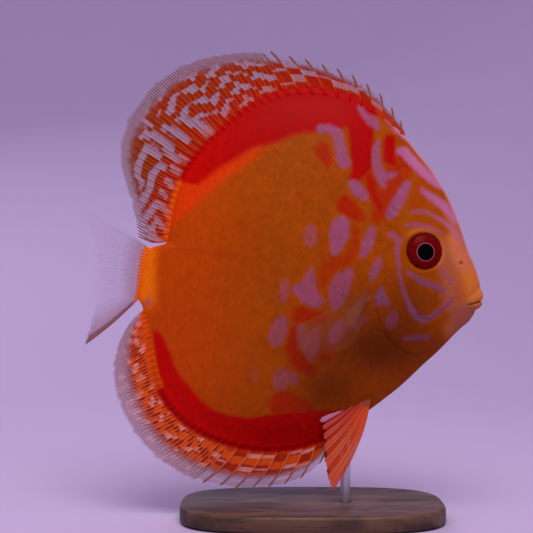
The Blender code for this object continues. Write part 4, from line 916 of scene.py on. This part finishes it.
def upright_fin(name, rays, margin, bounds, soft_from, finish, strokes, drawn, rows=58, seed=3, fewer=0.0):
    """A fin of the back or belly, from the angles between its rays and the strokes of its windows.
    drawn is the reach of height that the strokes cover, and elsewhere the windows follow a plain rhythm."""
    roots, tips, bows = ([row[i] for row in rays] for i in range(3))
    rng = np.random.default_rng(seed)

    def lie(numbers, share):
        angle = np.interp(numbers, np.arange(len(bounds)), bounds)
        rim = around(OUTLINE, 1, angle) - FIN_SINK
        root_x, root_z = rim * np.cos(np.radians(angle)), rim * np.sin(np.radians(angle))
        tip = through(roots, tips, angle)
        reach = through([m[0] for m in margin], [m[1] for m in margin], tip)
        run_x, run_z = reach * np.cos(np.radians(tip)) - root_x, reach * np.sin(np.radians(tip)) - root_z
        bow = through(roots, bows, angle) * np.sin(np.pi * share)
        return (angle, root_x, root_z, np.hypot(run_x, run_z), root_x + run_x * share - run_z * bow,
                root_z + run_z * share + run_x * bow)

    numbers = np.linspace(0, len(bounds) - 1, (len(bounds) - 1) * PER_RAY + 1)[:, None]
    share = np.concatenate([np.linspace(0, 0.12, 7)[:-1], np.linspace(0.12, 1, rows - 6)])[None, :]
    turn = np.mod(numbers, 1)
    forked = smooth(soft_from - 0.5, soft_from + 0.5, numbers)
    crest = ray_crest(turn, share, forked)
    margin_gap = 1 - ray_crest(turn, np.ones((1, 1)), forked)
    length = lie(numbers, share)[3]
    ragged = rng.normal(0, 0.018, len(bounds) + 1)[np.floor(numbers).astype(int)]
    notch = np.where(forked > 0.5, FRINGE_NOTCH, SPINE_NOTCH)
    far = share * (1 + ragged * np.sin(np.pi * turn) ** 2 * share**4 - notch * margin_gap / length * share**8)
    angle, root_x, root_z, length, x, z = lie(numbers, far)
    along = length * far - FIN_SINK
    ripple = 0.10 * np.sin(2 * np.pi * turn) * smooth(0, 6, along)
    y = SWAY * far**2 * np.sin(np.radians(SWAYS * angle)) + ripple
    web = WEB_ROOT + (WEB_MARGIN - WEB_ROOT) * far
    ray = (RAY_ROOT + (RAY_MARGIN - RAY_ROOT) * far**0.7) * crest * (1 + 0.4 * (1 - forked) * (1 - far))
    foot = around(EDGE_HALF, 1, angle) * 0.96
    flare = np.maximum(foot - web, 0) * np.exp(-np.maximum(along + 0.4, 0) / 0.9)
    pocket = np.where(forked > 0.5, np.round(2 * numbers) / 2, np.round(numbers))
    _, _, _, pocket_length, pocket_x, pocket_z = lie(np.clip(pocket, 0, len(bounds) - 1), share)
    jitter = rng.normal(0, 1, 2 * len(bounds) + 2)[np.round(2 * pocket).astype(int)]
    window = np.full(x.shape, 1e3)
    for stroke in strokes:
        window = np.minimum(window, stroke_away(pocket_x, pocket_z, stroke))
    run = pocket_length * share - FIN_SINK
    phase = 0.42 * np.sin(pocket * 0.95) + 0.30 * np.sin(pocket * 0.37 + 1) + 0.10 * jitter
    rhythm = np.cos(2 * np.pi * (run / 5.6 - phase))
    rhythm = rhythm + 0.55 * np.cos(2 * np.pi * pocket / 3.1 + 1.4 * np.sin(run / 3.6))
    plain = (0.42 + fewer - rhythm) * 1.3 + 1.2 * smooth(3.0, 1.0, run)
    low, high = drawn
    inside = smooth(low - 0.2, low + 0.2, pocket_z) * smooth(high + 0.2, high - 0.2, pocket_z)
    window = plain + (window - 0.28 + 0.12 * jitter - plain) * inside
    marks = {"ray": crest, "along": along, "to_margin": length * (1 - far), "soft": forked + 0 * x,
             "window": window, "streaks": np.cos(2 * np.pi * (run / 6.5 - 0.22 * jitter - 0.10 * pocket)),
             "aft": smooth(118, 150, np.where(angle > 180, 360 - angle, angle)) + 0 * x}
    root_marks = painted(root_x, root_z)
    marks["red"] = root_marks["red"] + 0 * x
    middle = np.stack([x, y, z], -1)
    sideways = np.broadcast_to((0.0, 1.0, 0.0), middle.shape)
    return fin_piece(name, middle, sideways, web + ray + flare, finish, marks)


FOOT_RUST = (0.45, 0.030, 0.003, 1)
JOINT_PITCH, TAIL_JOINT_PITCH = 0.8, 0.9


def joint_rings(tree, shader, ray, along, pitch, soft=1.0):
    """Relief of the soft rays: a fine ring at each of their joints."""
    turned = maths(tree, "MULTIPLY", along, 2 * math.pi / pitch)
    rings = add(tree, "Math", {0: turned}, operation="SINE").outputs[0]
    relieve(tree, shader, maths(tree, "MULTIPLY", maths(tree, "MULTIPLY", rings, ray), soft), 0.02 * MM)


def fin_foot_colour(tree):
    amber = blend(tree, 0.35, FIN_AMBER, ORANGE_WARM)
    colour = blend(tree, mark(tree, "aft"), FOOT_RUST, amber)
    return blend(tree, fade(tree, mark(tree, "red"), 0.25, 0.95), colour, SIGNAL_RED)


barred, tree, shader = new_finish("maze_painted_fin", roughness=0.42, shine=0.04)
ray, along, aft = mark(tree, "ray"), mark(tree, "along"), mark(tree, "aft")
wander = maths(tree, "SUBTRACT", grain(tree, 1.6 * MM, 3, seed=4.0), 0.5)
window = maths(tree, "ADD", mark(tree, "window"), maths(tree, "MULTIPLY", wander, 1.2))
window = fade(tree, window, 0.32, -0.30)
outer = maths(tree, "ADD", mark(tree, "to_margin"), maths(tree, "MULTIPLY", wander, 5.0))
outer = fade(tree, outer, 7.0, 2.5)
foot = fade(tree, along, 2.6, 0.5)
far_out = fade(tree, along, 4.0, 13.0)
browned = maths(tree, "MULTIPLY", far_out, fade(tree, aft, 0, 1, 0.55, 1.0))
block = blend(tree, browned, BLOCK_RED, BLOCK_BROWN)
block = blend(tree, fade(tree, wander, -0.15, 0.2, 0, 0.2), block, (0.50, 0.050, 0.005, 1))
pane = blend(tree, fade(tree, along, 2.0, 8.0), WINDOW_ROSE, WINDOW_LILAC)
fringe = fade(tree, mark(tree, "to_margin"), 4.5, 0.5)
fringe = blend(tree, fringe, (0.28, 0.105, 0.065, 1), (0.32, 0.17, 0.17, 1))
colour = blend(tree, outer, block, fringe)
colour = blend(tree, window, colour, pane)
ray_colour = blend(tree, far_out, (0.66, 0.105, 0.020, 1), RAY_TAN)
ray_colour = blend(tree, window, ray_colour, blend(tree, far_out, WINDOW_ROSE, RAY_PALE))
ray_colour = blend(tree, outer, ray_colour, (0.26, 0.085, 0.045, 1))
lines = maths(tree, "MULTIPLY", fade(tree, ray, 0.15, 0.45), outer)
lines = maths(tree, "MAXIMUM", fade(tree, ray, 0.55, 1.0, 0, 0.6), lines)
colour = blend(tree, lines, colour, ray_colour)
colour = blend(tree, foot, colour, fin_foot_colour(tree))
tree.links.new(colour, shader.inputs["Base Color"])
between = fade(tree, ray, 0.50, 0.12)
clear = maths(tree, "MULTIPLY", maths(tree, "MULTIPLY", window, between), 0.30)
clear = maths(tree, "MAXIMUM", clear, maths(tree, "MULTIPLY", maths(tree, "MULTIPLY", outer, between), 0.93))
clear = maths(tree, "MULTIPLY", clear, fade(tree, along, 0.8, 3.0))
tree.links.new(maths(tree, "SUBTRACT", 1.0, clear), shader.inputs["Alpha"])
joint_rings(tree, shader, ray, along, JOINT_PITCH, mark(tree, "soft"))

first, last = DORSAL_RAYS[0][0], DORSAL_RAYS[-1][0]
bounds = np.concatenate([np.linspace(first, DORSAL_SPLIT, DORSAL_SPINES + 1)[:-1],
                         DORSAL_SPLIT + (last - DORSAL_SPLIT) * np.linspace(0, 1, DORSAL_SOFT + 1) ** 0.93])
dorsal = upright_fin("back_fin", DORSAL_RAYS, DORSAL_MARGIN, bounds, DORSAL_SPINES, barred, DORSAL_WINDOWS,
                     drawn=(0, 51.5))
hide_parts("dorsal_fin_front", "dorsal_fin_rear")

# Belly fin: built like the back fin and mirrored below, but painted orange with dark red streaks between
# the rays, pink dots where the streaks leave gaps, and fine pale filaments towards the margin.
ANAL_RAYS = (
    (195.6, 198.8, -0.05), (200, 203.6, -0.03), (205, 206.8, -0.02), (214.5, 212.7, 0.0),
    (224, 219.8, 0.0), (231.5, 226, 0.01), (240.5, 235, 0.03), (257.5, 251.5, 0.05),
    (270, 264, 0.06), (278, 273, 0.06), (281.6, 279.5, 0.04),
)
ANAL_MARGIN = (
    (198.5, 62.0), (201, 66.0), (206, 72.0), (210, 75.6), (217.5, 79.8), (228, 83.2), (235, 84.2),
    (242, 84.0), (249, 82.9), (256.5, 81.1), (264, 78.4), (270, 75.4), (275.5, 70.6), (280, 64.6),
)
ANAL_SPLIT = 250.0
ANAL_SOFT, ANAL_SPINES = 28, 8
ANAL_DOTS = (
    ((-53.1, -13.7, 0.6), (-52.4, -13.9, 0.5)), ((-55.7, -16.1, 0.7), (-55.5, -16.5, 0.7)),
    ((-55.9, -17.9, 0.7), (-55.7, -18.2, 0.7)), ((-56.6, -20.3, 0.8), (-56.2, -20.7, 0.8)),
    ((-58.3, -23.5, 0.6), (-57.8, -23.7, 0.6)), ((-59.4, -26.5, 0.5), (-59.0, -27.0, 0.5)),
    ((-57.1, -26.6, 0.5), (-56.9, -27.5, 0.5)), ((-54.3, -28.2, 0.4), (-55.2, -30.1, 0.6)),
    ((-61.5, -30.1, 0.3), (-61.1, -30.5, 0.3)), ((-60.1, -33.3, 0.5), (-59.7, -34.2, 0.5)),
    ((-57.1, -35.0, 0.4), (-57.8, -37.1, 0.6)), ((-61.8, -38.9, 0.4), (-62.9, -39.9, 0.5)),
    ((-55.2, -39.2, 0.5), (-56.6, -40.3, 0.4)), ((-60.4, -42.4, 0.4), (-62.9, -43.4, 0.6)),
    ((-55.2, -44.8, 0.4), (-56.9, -46.1, 0.7)), ((-50.6, -41.7, 0.5), (-51.7, -42.7, 0.6)),
    ((-51.5, -46.6, 0.5), (-51.9, -48.3, 0.7)), ((-47.1, -46.6, 0.6), (-48.2, -48.0, 0.8)),
    ((-57.6, -47.3, 0.4), (-60.8, -49.0, 0.5)), ((-56.2, -51.1, 0.5), (-59.4, -52.0, 0.6)),
    ((-42.6, -51.1, 0.6), (-45.0, -51.8, 0.6)),
)

streaked, tree, shader = new_finish("streaked_fin", roughness=0.42, shine=0.05)
ray, along = mark(tree, "ray"), mark(tree, "along")
wander = maths(tree, "SUBTRACT", grain(tree, 1.8 * MM, 3, seed=14.0), 0.5)
streaks = maths(tree, "ADD", mark(tree, "streaks"), maths(tree, "MULTIPLY", wander, 1.8))
streak = maths(tree, "MULTIPLY", fade(tree, streaks, -0.35, 0.35), fade(tree, along, 1.2, 3.4))
dot = fade(tree, maths(tree, "ADD", mark(tree, "window"), maths(tree, "MULTIPLY", wander, 0.5)), 0.35, -0.25)
outer = fade(tree, mark(tree, "to_margin"), 9.0, 4.0)
foot = fade(tree, along, 3.0, 1.0)
colour = blend(tree, fade(tree, along, 3, 13), (0.74, 0.078, 0.003, 1), (0.62, 0.080, 0.016, 1))
colour = blend(tree, maths(tree, "MULTIPLY", streak, 0.9), colour, (0.36, 0.016, 0.004, 1))
colour = blend(tree, outer, colour, (0.33, 0.085, 0.065, 1))
colour = blend(tree, maths(tree, "MULTIPLY", dot, 0.85), colour, (0.78, 0.30, 0.24, 1))
ray_colour = blend(tree, outer, (0.78, 0.165, 0.050, 1), (0.46, 0.19, 0.15, 1))
colour = blend(tree, fade(tree, ray, 0.4, 0.95, 0, 0.85), colour, ray_colour)
colour = blend(tree, foot, colour, fin_foot_colour(tree))
tree.links.new(colour, shader.inputs["Base Color"])
clear = maths(tree, "MULTIPLY", maths(tree, "MULTIPLY", outer, fade(tree, ray, 0.75, 0.25)), 0.78)
tree.links.new(maths(tree, "SUBTRACT", 1.0, clear), shader.inputs["Alpha"])
joint_rings(tree, shader, ray, along, JOINT_PITCH, mark(tree, "soft"))

first, last = ANAL_RAYS[0][0], ANAL_RAYS[-1][0]
bounds = np.concatenate([first + (ANAL_SPLIT - first) * np.linspace(0, 1, ANAL_SOFT + 1) ** 1.06,
                         np.linspace(ANAL_SPLIT, last, ANAL_SPINES + 1)[1:]])[::-1]
anal = upright_fin("belly_fin", ANAL_RAYS, ANAL_MARGIN, bounds, ANAL_SPINES, streaked, ANAL_DOTS,
                   drawn=(-52.5, 0), seed=8, fewer=0.55)
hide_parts("anal_fin_front", "anal_fin_rear")

# Tail fin: a clear fan of eighteen soft rays that fork twice, rosy at its foot and along its lower edge.
# It is let into the end of the stalk.
TAIL_ROOT = (174.4, 191.2)
TAIL_TOP_TIP, TAIL_LOW_TIP = (-75.6, 19.2), (-75.6, -28.4)
TAIL_HOLLOW = 4.2
TAIL_RAYS = 18

clear_fin, tree, shader = new_finish("clear_tail_fin", roughness=0.35, shine=0.15)
ray, along = mark(tree, "ray"), mark(tree, "along")
foot = fade(tree, along, 3.4, 0.4)
rosy = maths(tree, "MAXIMUM", fade(tree, mark(tree, "down"), 0.60, 0.97), fade(tree, along, 11.0, 2.0))
colour = blend(tree, rosy, (0.40, 0.26, 0.38, 1), (0.40, 0.150, 0.180, 1))
lower = fade(tree, mark(tree, "down"), 0.88, 0.97)
colour = blend(tree, lower, colour, (0.32, 0.095, 0.080, 1))
ray_colour = blend(tree, lower, (0.56, 0.38, 0.46, 1), (0.34, 0.115, 0.095, 1))
ray_colour = blend(tree, fade(tree, mark(tree, "down"), 0.03, 0.005), ray_colour, (0.78, 0.62, 0.72, 1))
colour = blend(tree, fade(tree, ray, 0.35, 0.9), colour, ray_colour)
colour = blend(tree, foot, colour, STALK_AMBER)
tree.links.new(colour, shader.inputs["Base Color"])
thin = fade(tree, along, 4.0, 20.0, 1.0, 0.35)
body = maths(tree, "ADD", 0.08, maths(tree, "MULTIPLY", fade(tree, ray, 0.3, 0.95), 0.36))
body = maths(tree, "MULTIPLY", body, thin)
body = maths(tree, "MAXIMUM", body, maths(tree, "MULTIPLY", rosy, 0.38))
body = maths(tree, "MAXIMUM", body, maths(tree, "MULTIPLY", lower, 0.75))
body = maths(tree, "MAXIMUM", body, foot)
tree.links.new(body, shader.inputs["Alpha"])
joint_rings(tree, shader, ray, along, TAIL_JOINT_PITCH)

numbers = np.linspace(0, TAIL_RAYS, TAIL_RAYS * PER_RAY + 1)
down = (numbers / TAIL_RAYS)[:, None]
share = np.concatenate([np.linspace(0, 0.12, 7)[:-1], np.linspace(0.12, 1, 50)])[None, :]
turn = np.mod(numbers, 1)[:, None]
crest = ray_crest(turn, share, 1.0)
angle = TAIL_ROOT[0] + (TAIL_ROOT[1] - TAIL_ROOT[0]) * down
rim = around(OUTLINE, 1, angle) - FIN_SINK
root_x, root_z = rim * np.cos(np.radians(angle)), rim * np.sin(np.radians(angle))
tip_x = TAIL_TOP_TIP[0] + TAIL_HOLLOW * (1 - (2 * down - 1) ** 2)
tip_z = TAIL_TOP_TIP[1] + (TAIL_LOW_TIP[1] - TAIL_TOP_TIP[1]) * down
length = np.hypot(tip_x - root_x, tip_z - root_z)
hollow = FRINGE_NOTCH * (1 - ray_crest(turn, np.ones((1, 1)), 1.0))
ragged = np.random.default_rng(21).normal(0, 0.012, TAIL_RAYS + 1)[np.floor(numbers).astype(int)][:, None]
far = share * (1 + ragged * np.sin(np.pi * turn) ** 2 * share**4 - hollow / length * share**8)
x = root_x + (tip_x - root_x) * far
z = root_z + (tip_z - root_z) * far + 0.9 * np.sin(np.pi * far) * (1 - 2 * down)
along = length * far - FIN_SINK
y = 0.9 * far**2 * np.sin(2.2 * np.pi * down) + 0.08 * np.sin(2 * np.pi * turn) * smooth(0, 6, along)
web = 0.11 + (0.04 - 0.11) * far
ray_half = (0.30 + (0.07 - 0.30) * far**0.8) * crest
flare = np.maximum(around(EDGE_HALF, 1, angle) * 0.96 - web, 0) * np.exp(-np.maximum(along + 0.4, 0) / 1.1)
middle = np.stack([x, y, z], -1)
marks = {"ray": crest, "along": along, "down": down + 0 * x}
tail = fin_piece("tail_fin", middle, np.broadcast_to((0.0, 1.0, 0.0), middle.shape), web + ray_half + flare,
                 clear_fin, marks)
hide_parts("caudal_fin")

# Breast fins: two thin amber fans behind the gill openings, on a short fleshy foot, folded back and down.
# Belly fins: narrow red fans in front of the vent, each led by a long pale spine.
PECTORAL_ROOT = (22.2, -10.6)
PECTORAL_ROOT_HALF = 2.0
PECTORAL_LENGTH = 28.0
PECTORAL_REACH = ((0, 0.12, 0.35, 0.7, 1), (0.86, 0.97, 1, 0.78, 0.5))
PECTORAL_FAN = (30.0, 78.0)
PECTORAL_OUT = 24.0
PECTORAL_RAYS = 12
PELVIC_ROOT = ((18.6, -47.4), (24.4, -48.4))
PELVIC_SIDE = 2.6
PELVIC_FAN = (34.0, 82.0)
PELVIC_LENGTHS = (12.5, 31.0)
PELVIC_OUT = 12.0
PELVIC_RAYS = 6


def fan_piece(name, side, low, high, lengths, fan, out, sweep, side_at, rays, forks, thick, finish, rows=44):
    """A paired fin: rays fan from a short foot that is sunk in the flank."""
    numbers = np.linspace(0, rays, rays * PER_RAY + 1)
    down = (numbers / rays)[:, None]
    share = np.concatenate([np.linspace(0, 0.12, 7)[:-1], np.linspace(0.12, 1, rows)])[None, :]
    turn = np.mod(numbers, 1)[:, None]
    crest = ray_crest(turn, share, forks)
    angle = np.radians(fan[0] + (fan[1] - fan[0]) * down)
    reach = lengths(down)
    hollow = FRINGE_NOTCH * 0.8 * (1 - ray_crest(turn, np.ones((1, 1)), forks))
    far = share * (1 - hollow / reach * share**8)
    run = reach * far - 1.6 * (1 - far)
    spread = math.radians(out)
    flat = run * np.cos(spread * (1 - 0.35 * far))
    bend = sweep * reach * far * far
    x = high[0] + (low[0] - high[0]) * down - flat * np.cos(angle) - bend * np.sin(angle)
    z = high[1] + (low[1] - high[1]) * down - flat * np.sin(angle) + bend * np.cos(angle) * 0.3
    y = side * (side_at + run * np.sin(spread * (1 - 0.35 * far)) + 0.07 * np.sin(2 * np.pi * turn) * far)
    middle = np.stack([x, y, z], -1)
    over, onward = np.gradient(middle, axis=0), np.gradient(middle, axis=1)
    across = np.cross(onward, over)
    across /= np.maximum(np.linalg.norm(across, axis=-1, keepdims=True), 1e-9)
    half = (thick * 0.28 * (1 - 0.65 * far) + (thick - 0.8 * thick * far**0.8) * crest
            + 0.55 * np.exp(-np.maximum(run, 0) / 1.2))
    marks = {"ray": crest, "along": run, "down": down + 0 * x, "to_margin": reach * (1 - far)}
    return fin_piece(name, middle, across, half, finish, marks)


amber_fan, tree, shader = new_finish("amber_breast_fin", roughness=0.4, shine=0.08)
ray, along = mark(tree, "ray"), mark(tree, "along")
foot = fade(tree, along, 1.6, -0.4)
held = fade(tree, maths(tree, "ABSOLUTE", maths(tree, "SUBTRACT", mark(tree, "down"), 0.55)), 0.34, 0.10)
stem = maths(tree, "MULTIPLY", maths(tree, "MULTIPLY", held, fade(tree, along, 17.0, 5.0)), 0.36)
colour = blend(tree, fade(tree, ray, 0.3, 0.9), (0.34, 0.110, 0.060, 1), (0.42, 0.140, 0.080, 1))
colour = blend(tree, foot, colour, (0.40, 0.105, 0.038, 1))
tree.links.new(colour, shader.inputs["Base Color"])
body = maths(tree, "ADD", 0.035, maths(tree, "MULTIPLY", fade(tree, ray, 0.3, 0.95), 0.09))
body = maths(tree, "MAXIMUM", body, stem)
tree.links.new(maths(tree, "MAXIMUM", body, maths(tree, "MULTIPLY", foot, 0.45)), shader.inputs["Alpha"])
relieve(tree, shader, grain(tree, 0.5 * MM, 2, seed=31.0), 0.015 * MM)

red_fan, tree, shader = new_finish("red_belly_fins", roughness=0.4, shine=0.12)
ray, along, down = mark(tree, "ray"), mark(tree, "along"), mark(tree, "down")
colour = blend(tree, fade(tree, down, 0.15, 0.9), (0.42, 0.006, 0.006, 1), (0.68, 0.065, 0.008, 1))
colour = blend(tree, fade(tree, ray, 0.4, 0.95, 0, 0.8), colour, (0.66, 0.16, 0.075, 1))
lead = fade(tree, down, 0.17, 0.10)
colour = blend(tree, lead, colour, (0.56, 0.22, 0.30, 1))
colour = blend(tree, fade(tree, along, 2.0, 0.2), colour, (0.36, 0.075, 0.030, 1))
tree.links.new(colour, shader.inputs["Base Color"])
clear = maths(tree, "MULTIPLY", fade(tree, ray, 0.6, 0.2), fade(tree, along, 4.0, 14.0, 0, 0.35))
tree.links.new(maths(tree, "SUBTRACT", 1.0, clear), shader.inputs["Alpha"])
relieve(tree, shader, grain(tree, 0.5 * MM, 2, seed=37.0), 0.015 * MM)

for side, word in ((-1, "right"), (1, "left")):
    x, z = PECTORAL_ROOT
    at_side = float(hide_half(np.array([x]), np.array([z]), False)[0])
    low_root, high_root = (x + 0.6, z - PECTORAL_ROOT_HALF), (x - 0.6, z + PECTORAL_ROOT_HALF)
    breast = fan_piece("breast_fin_" + word, side, low_root, high_root,
                       lambda u: PECTORAL_LENGTH * np.interp(u, *PECTORAL_REACH), PECTORAL_FAN, PECTORAL_OUT,
                       0.1, at_side, PECTORAL_RAYS, 1.0, 0.24, amber_fan)
    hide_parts("pectoral_fin_" + word)
    back, front = PELVIC_ROOT
    short, long = PELVIC_LENGTHS
    belly = fan_piece("belly_fin_" + word, side, front, back, lambda u: short + (long - short) * u**2,
                      PELVIC_FAN, PELVIC_OUT, 0.3, PELVIC_SIDE, PELVIC_RAYS, 0.6, 0.36, red_fan)
    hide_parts("pelvic_fin_" + word)

# Studio: a wide pale floor that curves up all round, one large soft light above the camera's side, a
# weaker one behind, and the camera level with the fish at the picture's framing.
FLOOR_REACH = 1.15
FLOOR_BEND = 0.75
WALL_HIGH = 1.2
PALE_FLOOR = (0.60, 0.46, 0.70, 1)
CAMERA_AT = (-0.0059, -0.4405, 0.088)
LENS = 85

floor_paint, tree, shader = new_finish("pale_floor", roughness=0.8, shine=0.2)
colour = blend(tree, grain(tree, 0.25, 2), PALE_FLOOR, (0.63, 0.50, 0.73, 1))
tree.links.new(colour, shader.inputs["Base Color"])
bend = np.radians(np.linspace(0, 90, 19))
flat_reach = FLOOR_REACH - FLOOR_BEND
radii = [0.05, 0.2, flat_reach] + [flat_reach + FLOOR_BEND * math.sin(a) for a in bend[1:]] + [FLOOR_REACH]
heights = [0, 0, 0] + [FLOOR_BEND * (1 - math.cos(a)) for a in bend[1:]] + [WALL_HIGH]
turn = np.radians(np.arange(0, 360, 4))
points = np.concatenate([np.column_stack([np.cos(turn) * r, np.sin(turn) * r, np.full(len(turn), h)])
                         for r, h in zip(radii, heights)])
count = len(turn)
faces = [tuple(range(count))]
for level in range(len(radii) - 1):
    a = level * count
    faces += [(a + i, a + (i + 1) % count, a + count + (i + 1) % count, a + count + i) for i in range(count)]
floor = mesh_piece("floor", points, faces, floor_paint)

scene = bpy.context.scene
scene.view_settings.view_transform = "Standard"
scene.world = bpy.data.worlds.new("studio_air")
scene.world.use_nodes = True
scene.world.node_tree.nodes["Background"].inputs[0].default_value = (0.86, 0.84, 1.0, 1)
scene.world.node_tree.nodes["Background"].inputs[1].default_value = 0.45


def soft_light(name, at, aim, size, power, colour):
    lamp = bpy.data.lights.new(name, "AREA")
    lamp.size, lamp.energy, lamp.color = size, power, colour
    made = bpy.data.objects.new(name, lamp)
    made.location = at
    made.rotation_euler = (Vector(aim) - Vector(at)).to_track_quat("-Z", "Y").to_euler()
    scene.collection.objects.link(made)


soft_light("key", (0.05, -0.45, 0.75), (0, 0, 0.09), 0.5, 4.3, (1.0, 0.97, 0.94))
soft_light("rear", (-0.30, 0.60, 0.60), (0, 0, 0.09), 0.5, 1.5, (0.90, 0.88, 1.0))

camera = bpy.data.objects.new("camera", bpy.data.cameras.new("camera"))
camera.data.lens = LENS
camera.data.sensor_width = 36
camera.data.clip_start = 0.01
camera.location = CAMERA_AT
camera.rotation_euler = (math.radians(90), 0, 0)
scene.collection.objects.link(camera)
scene.camera = camera
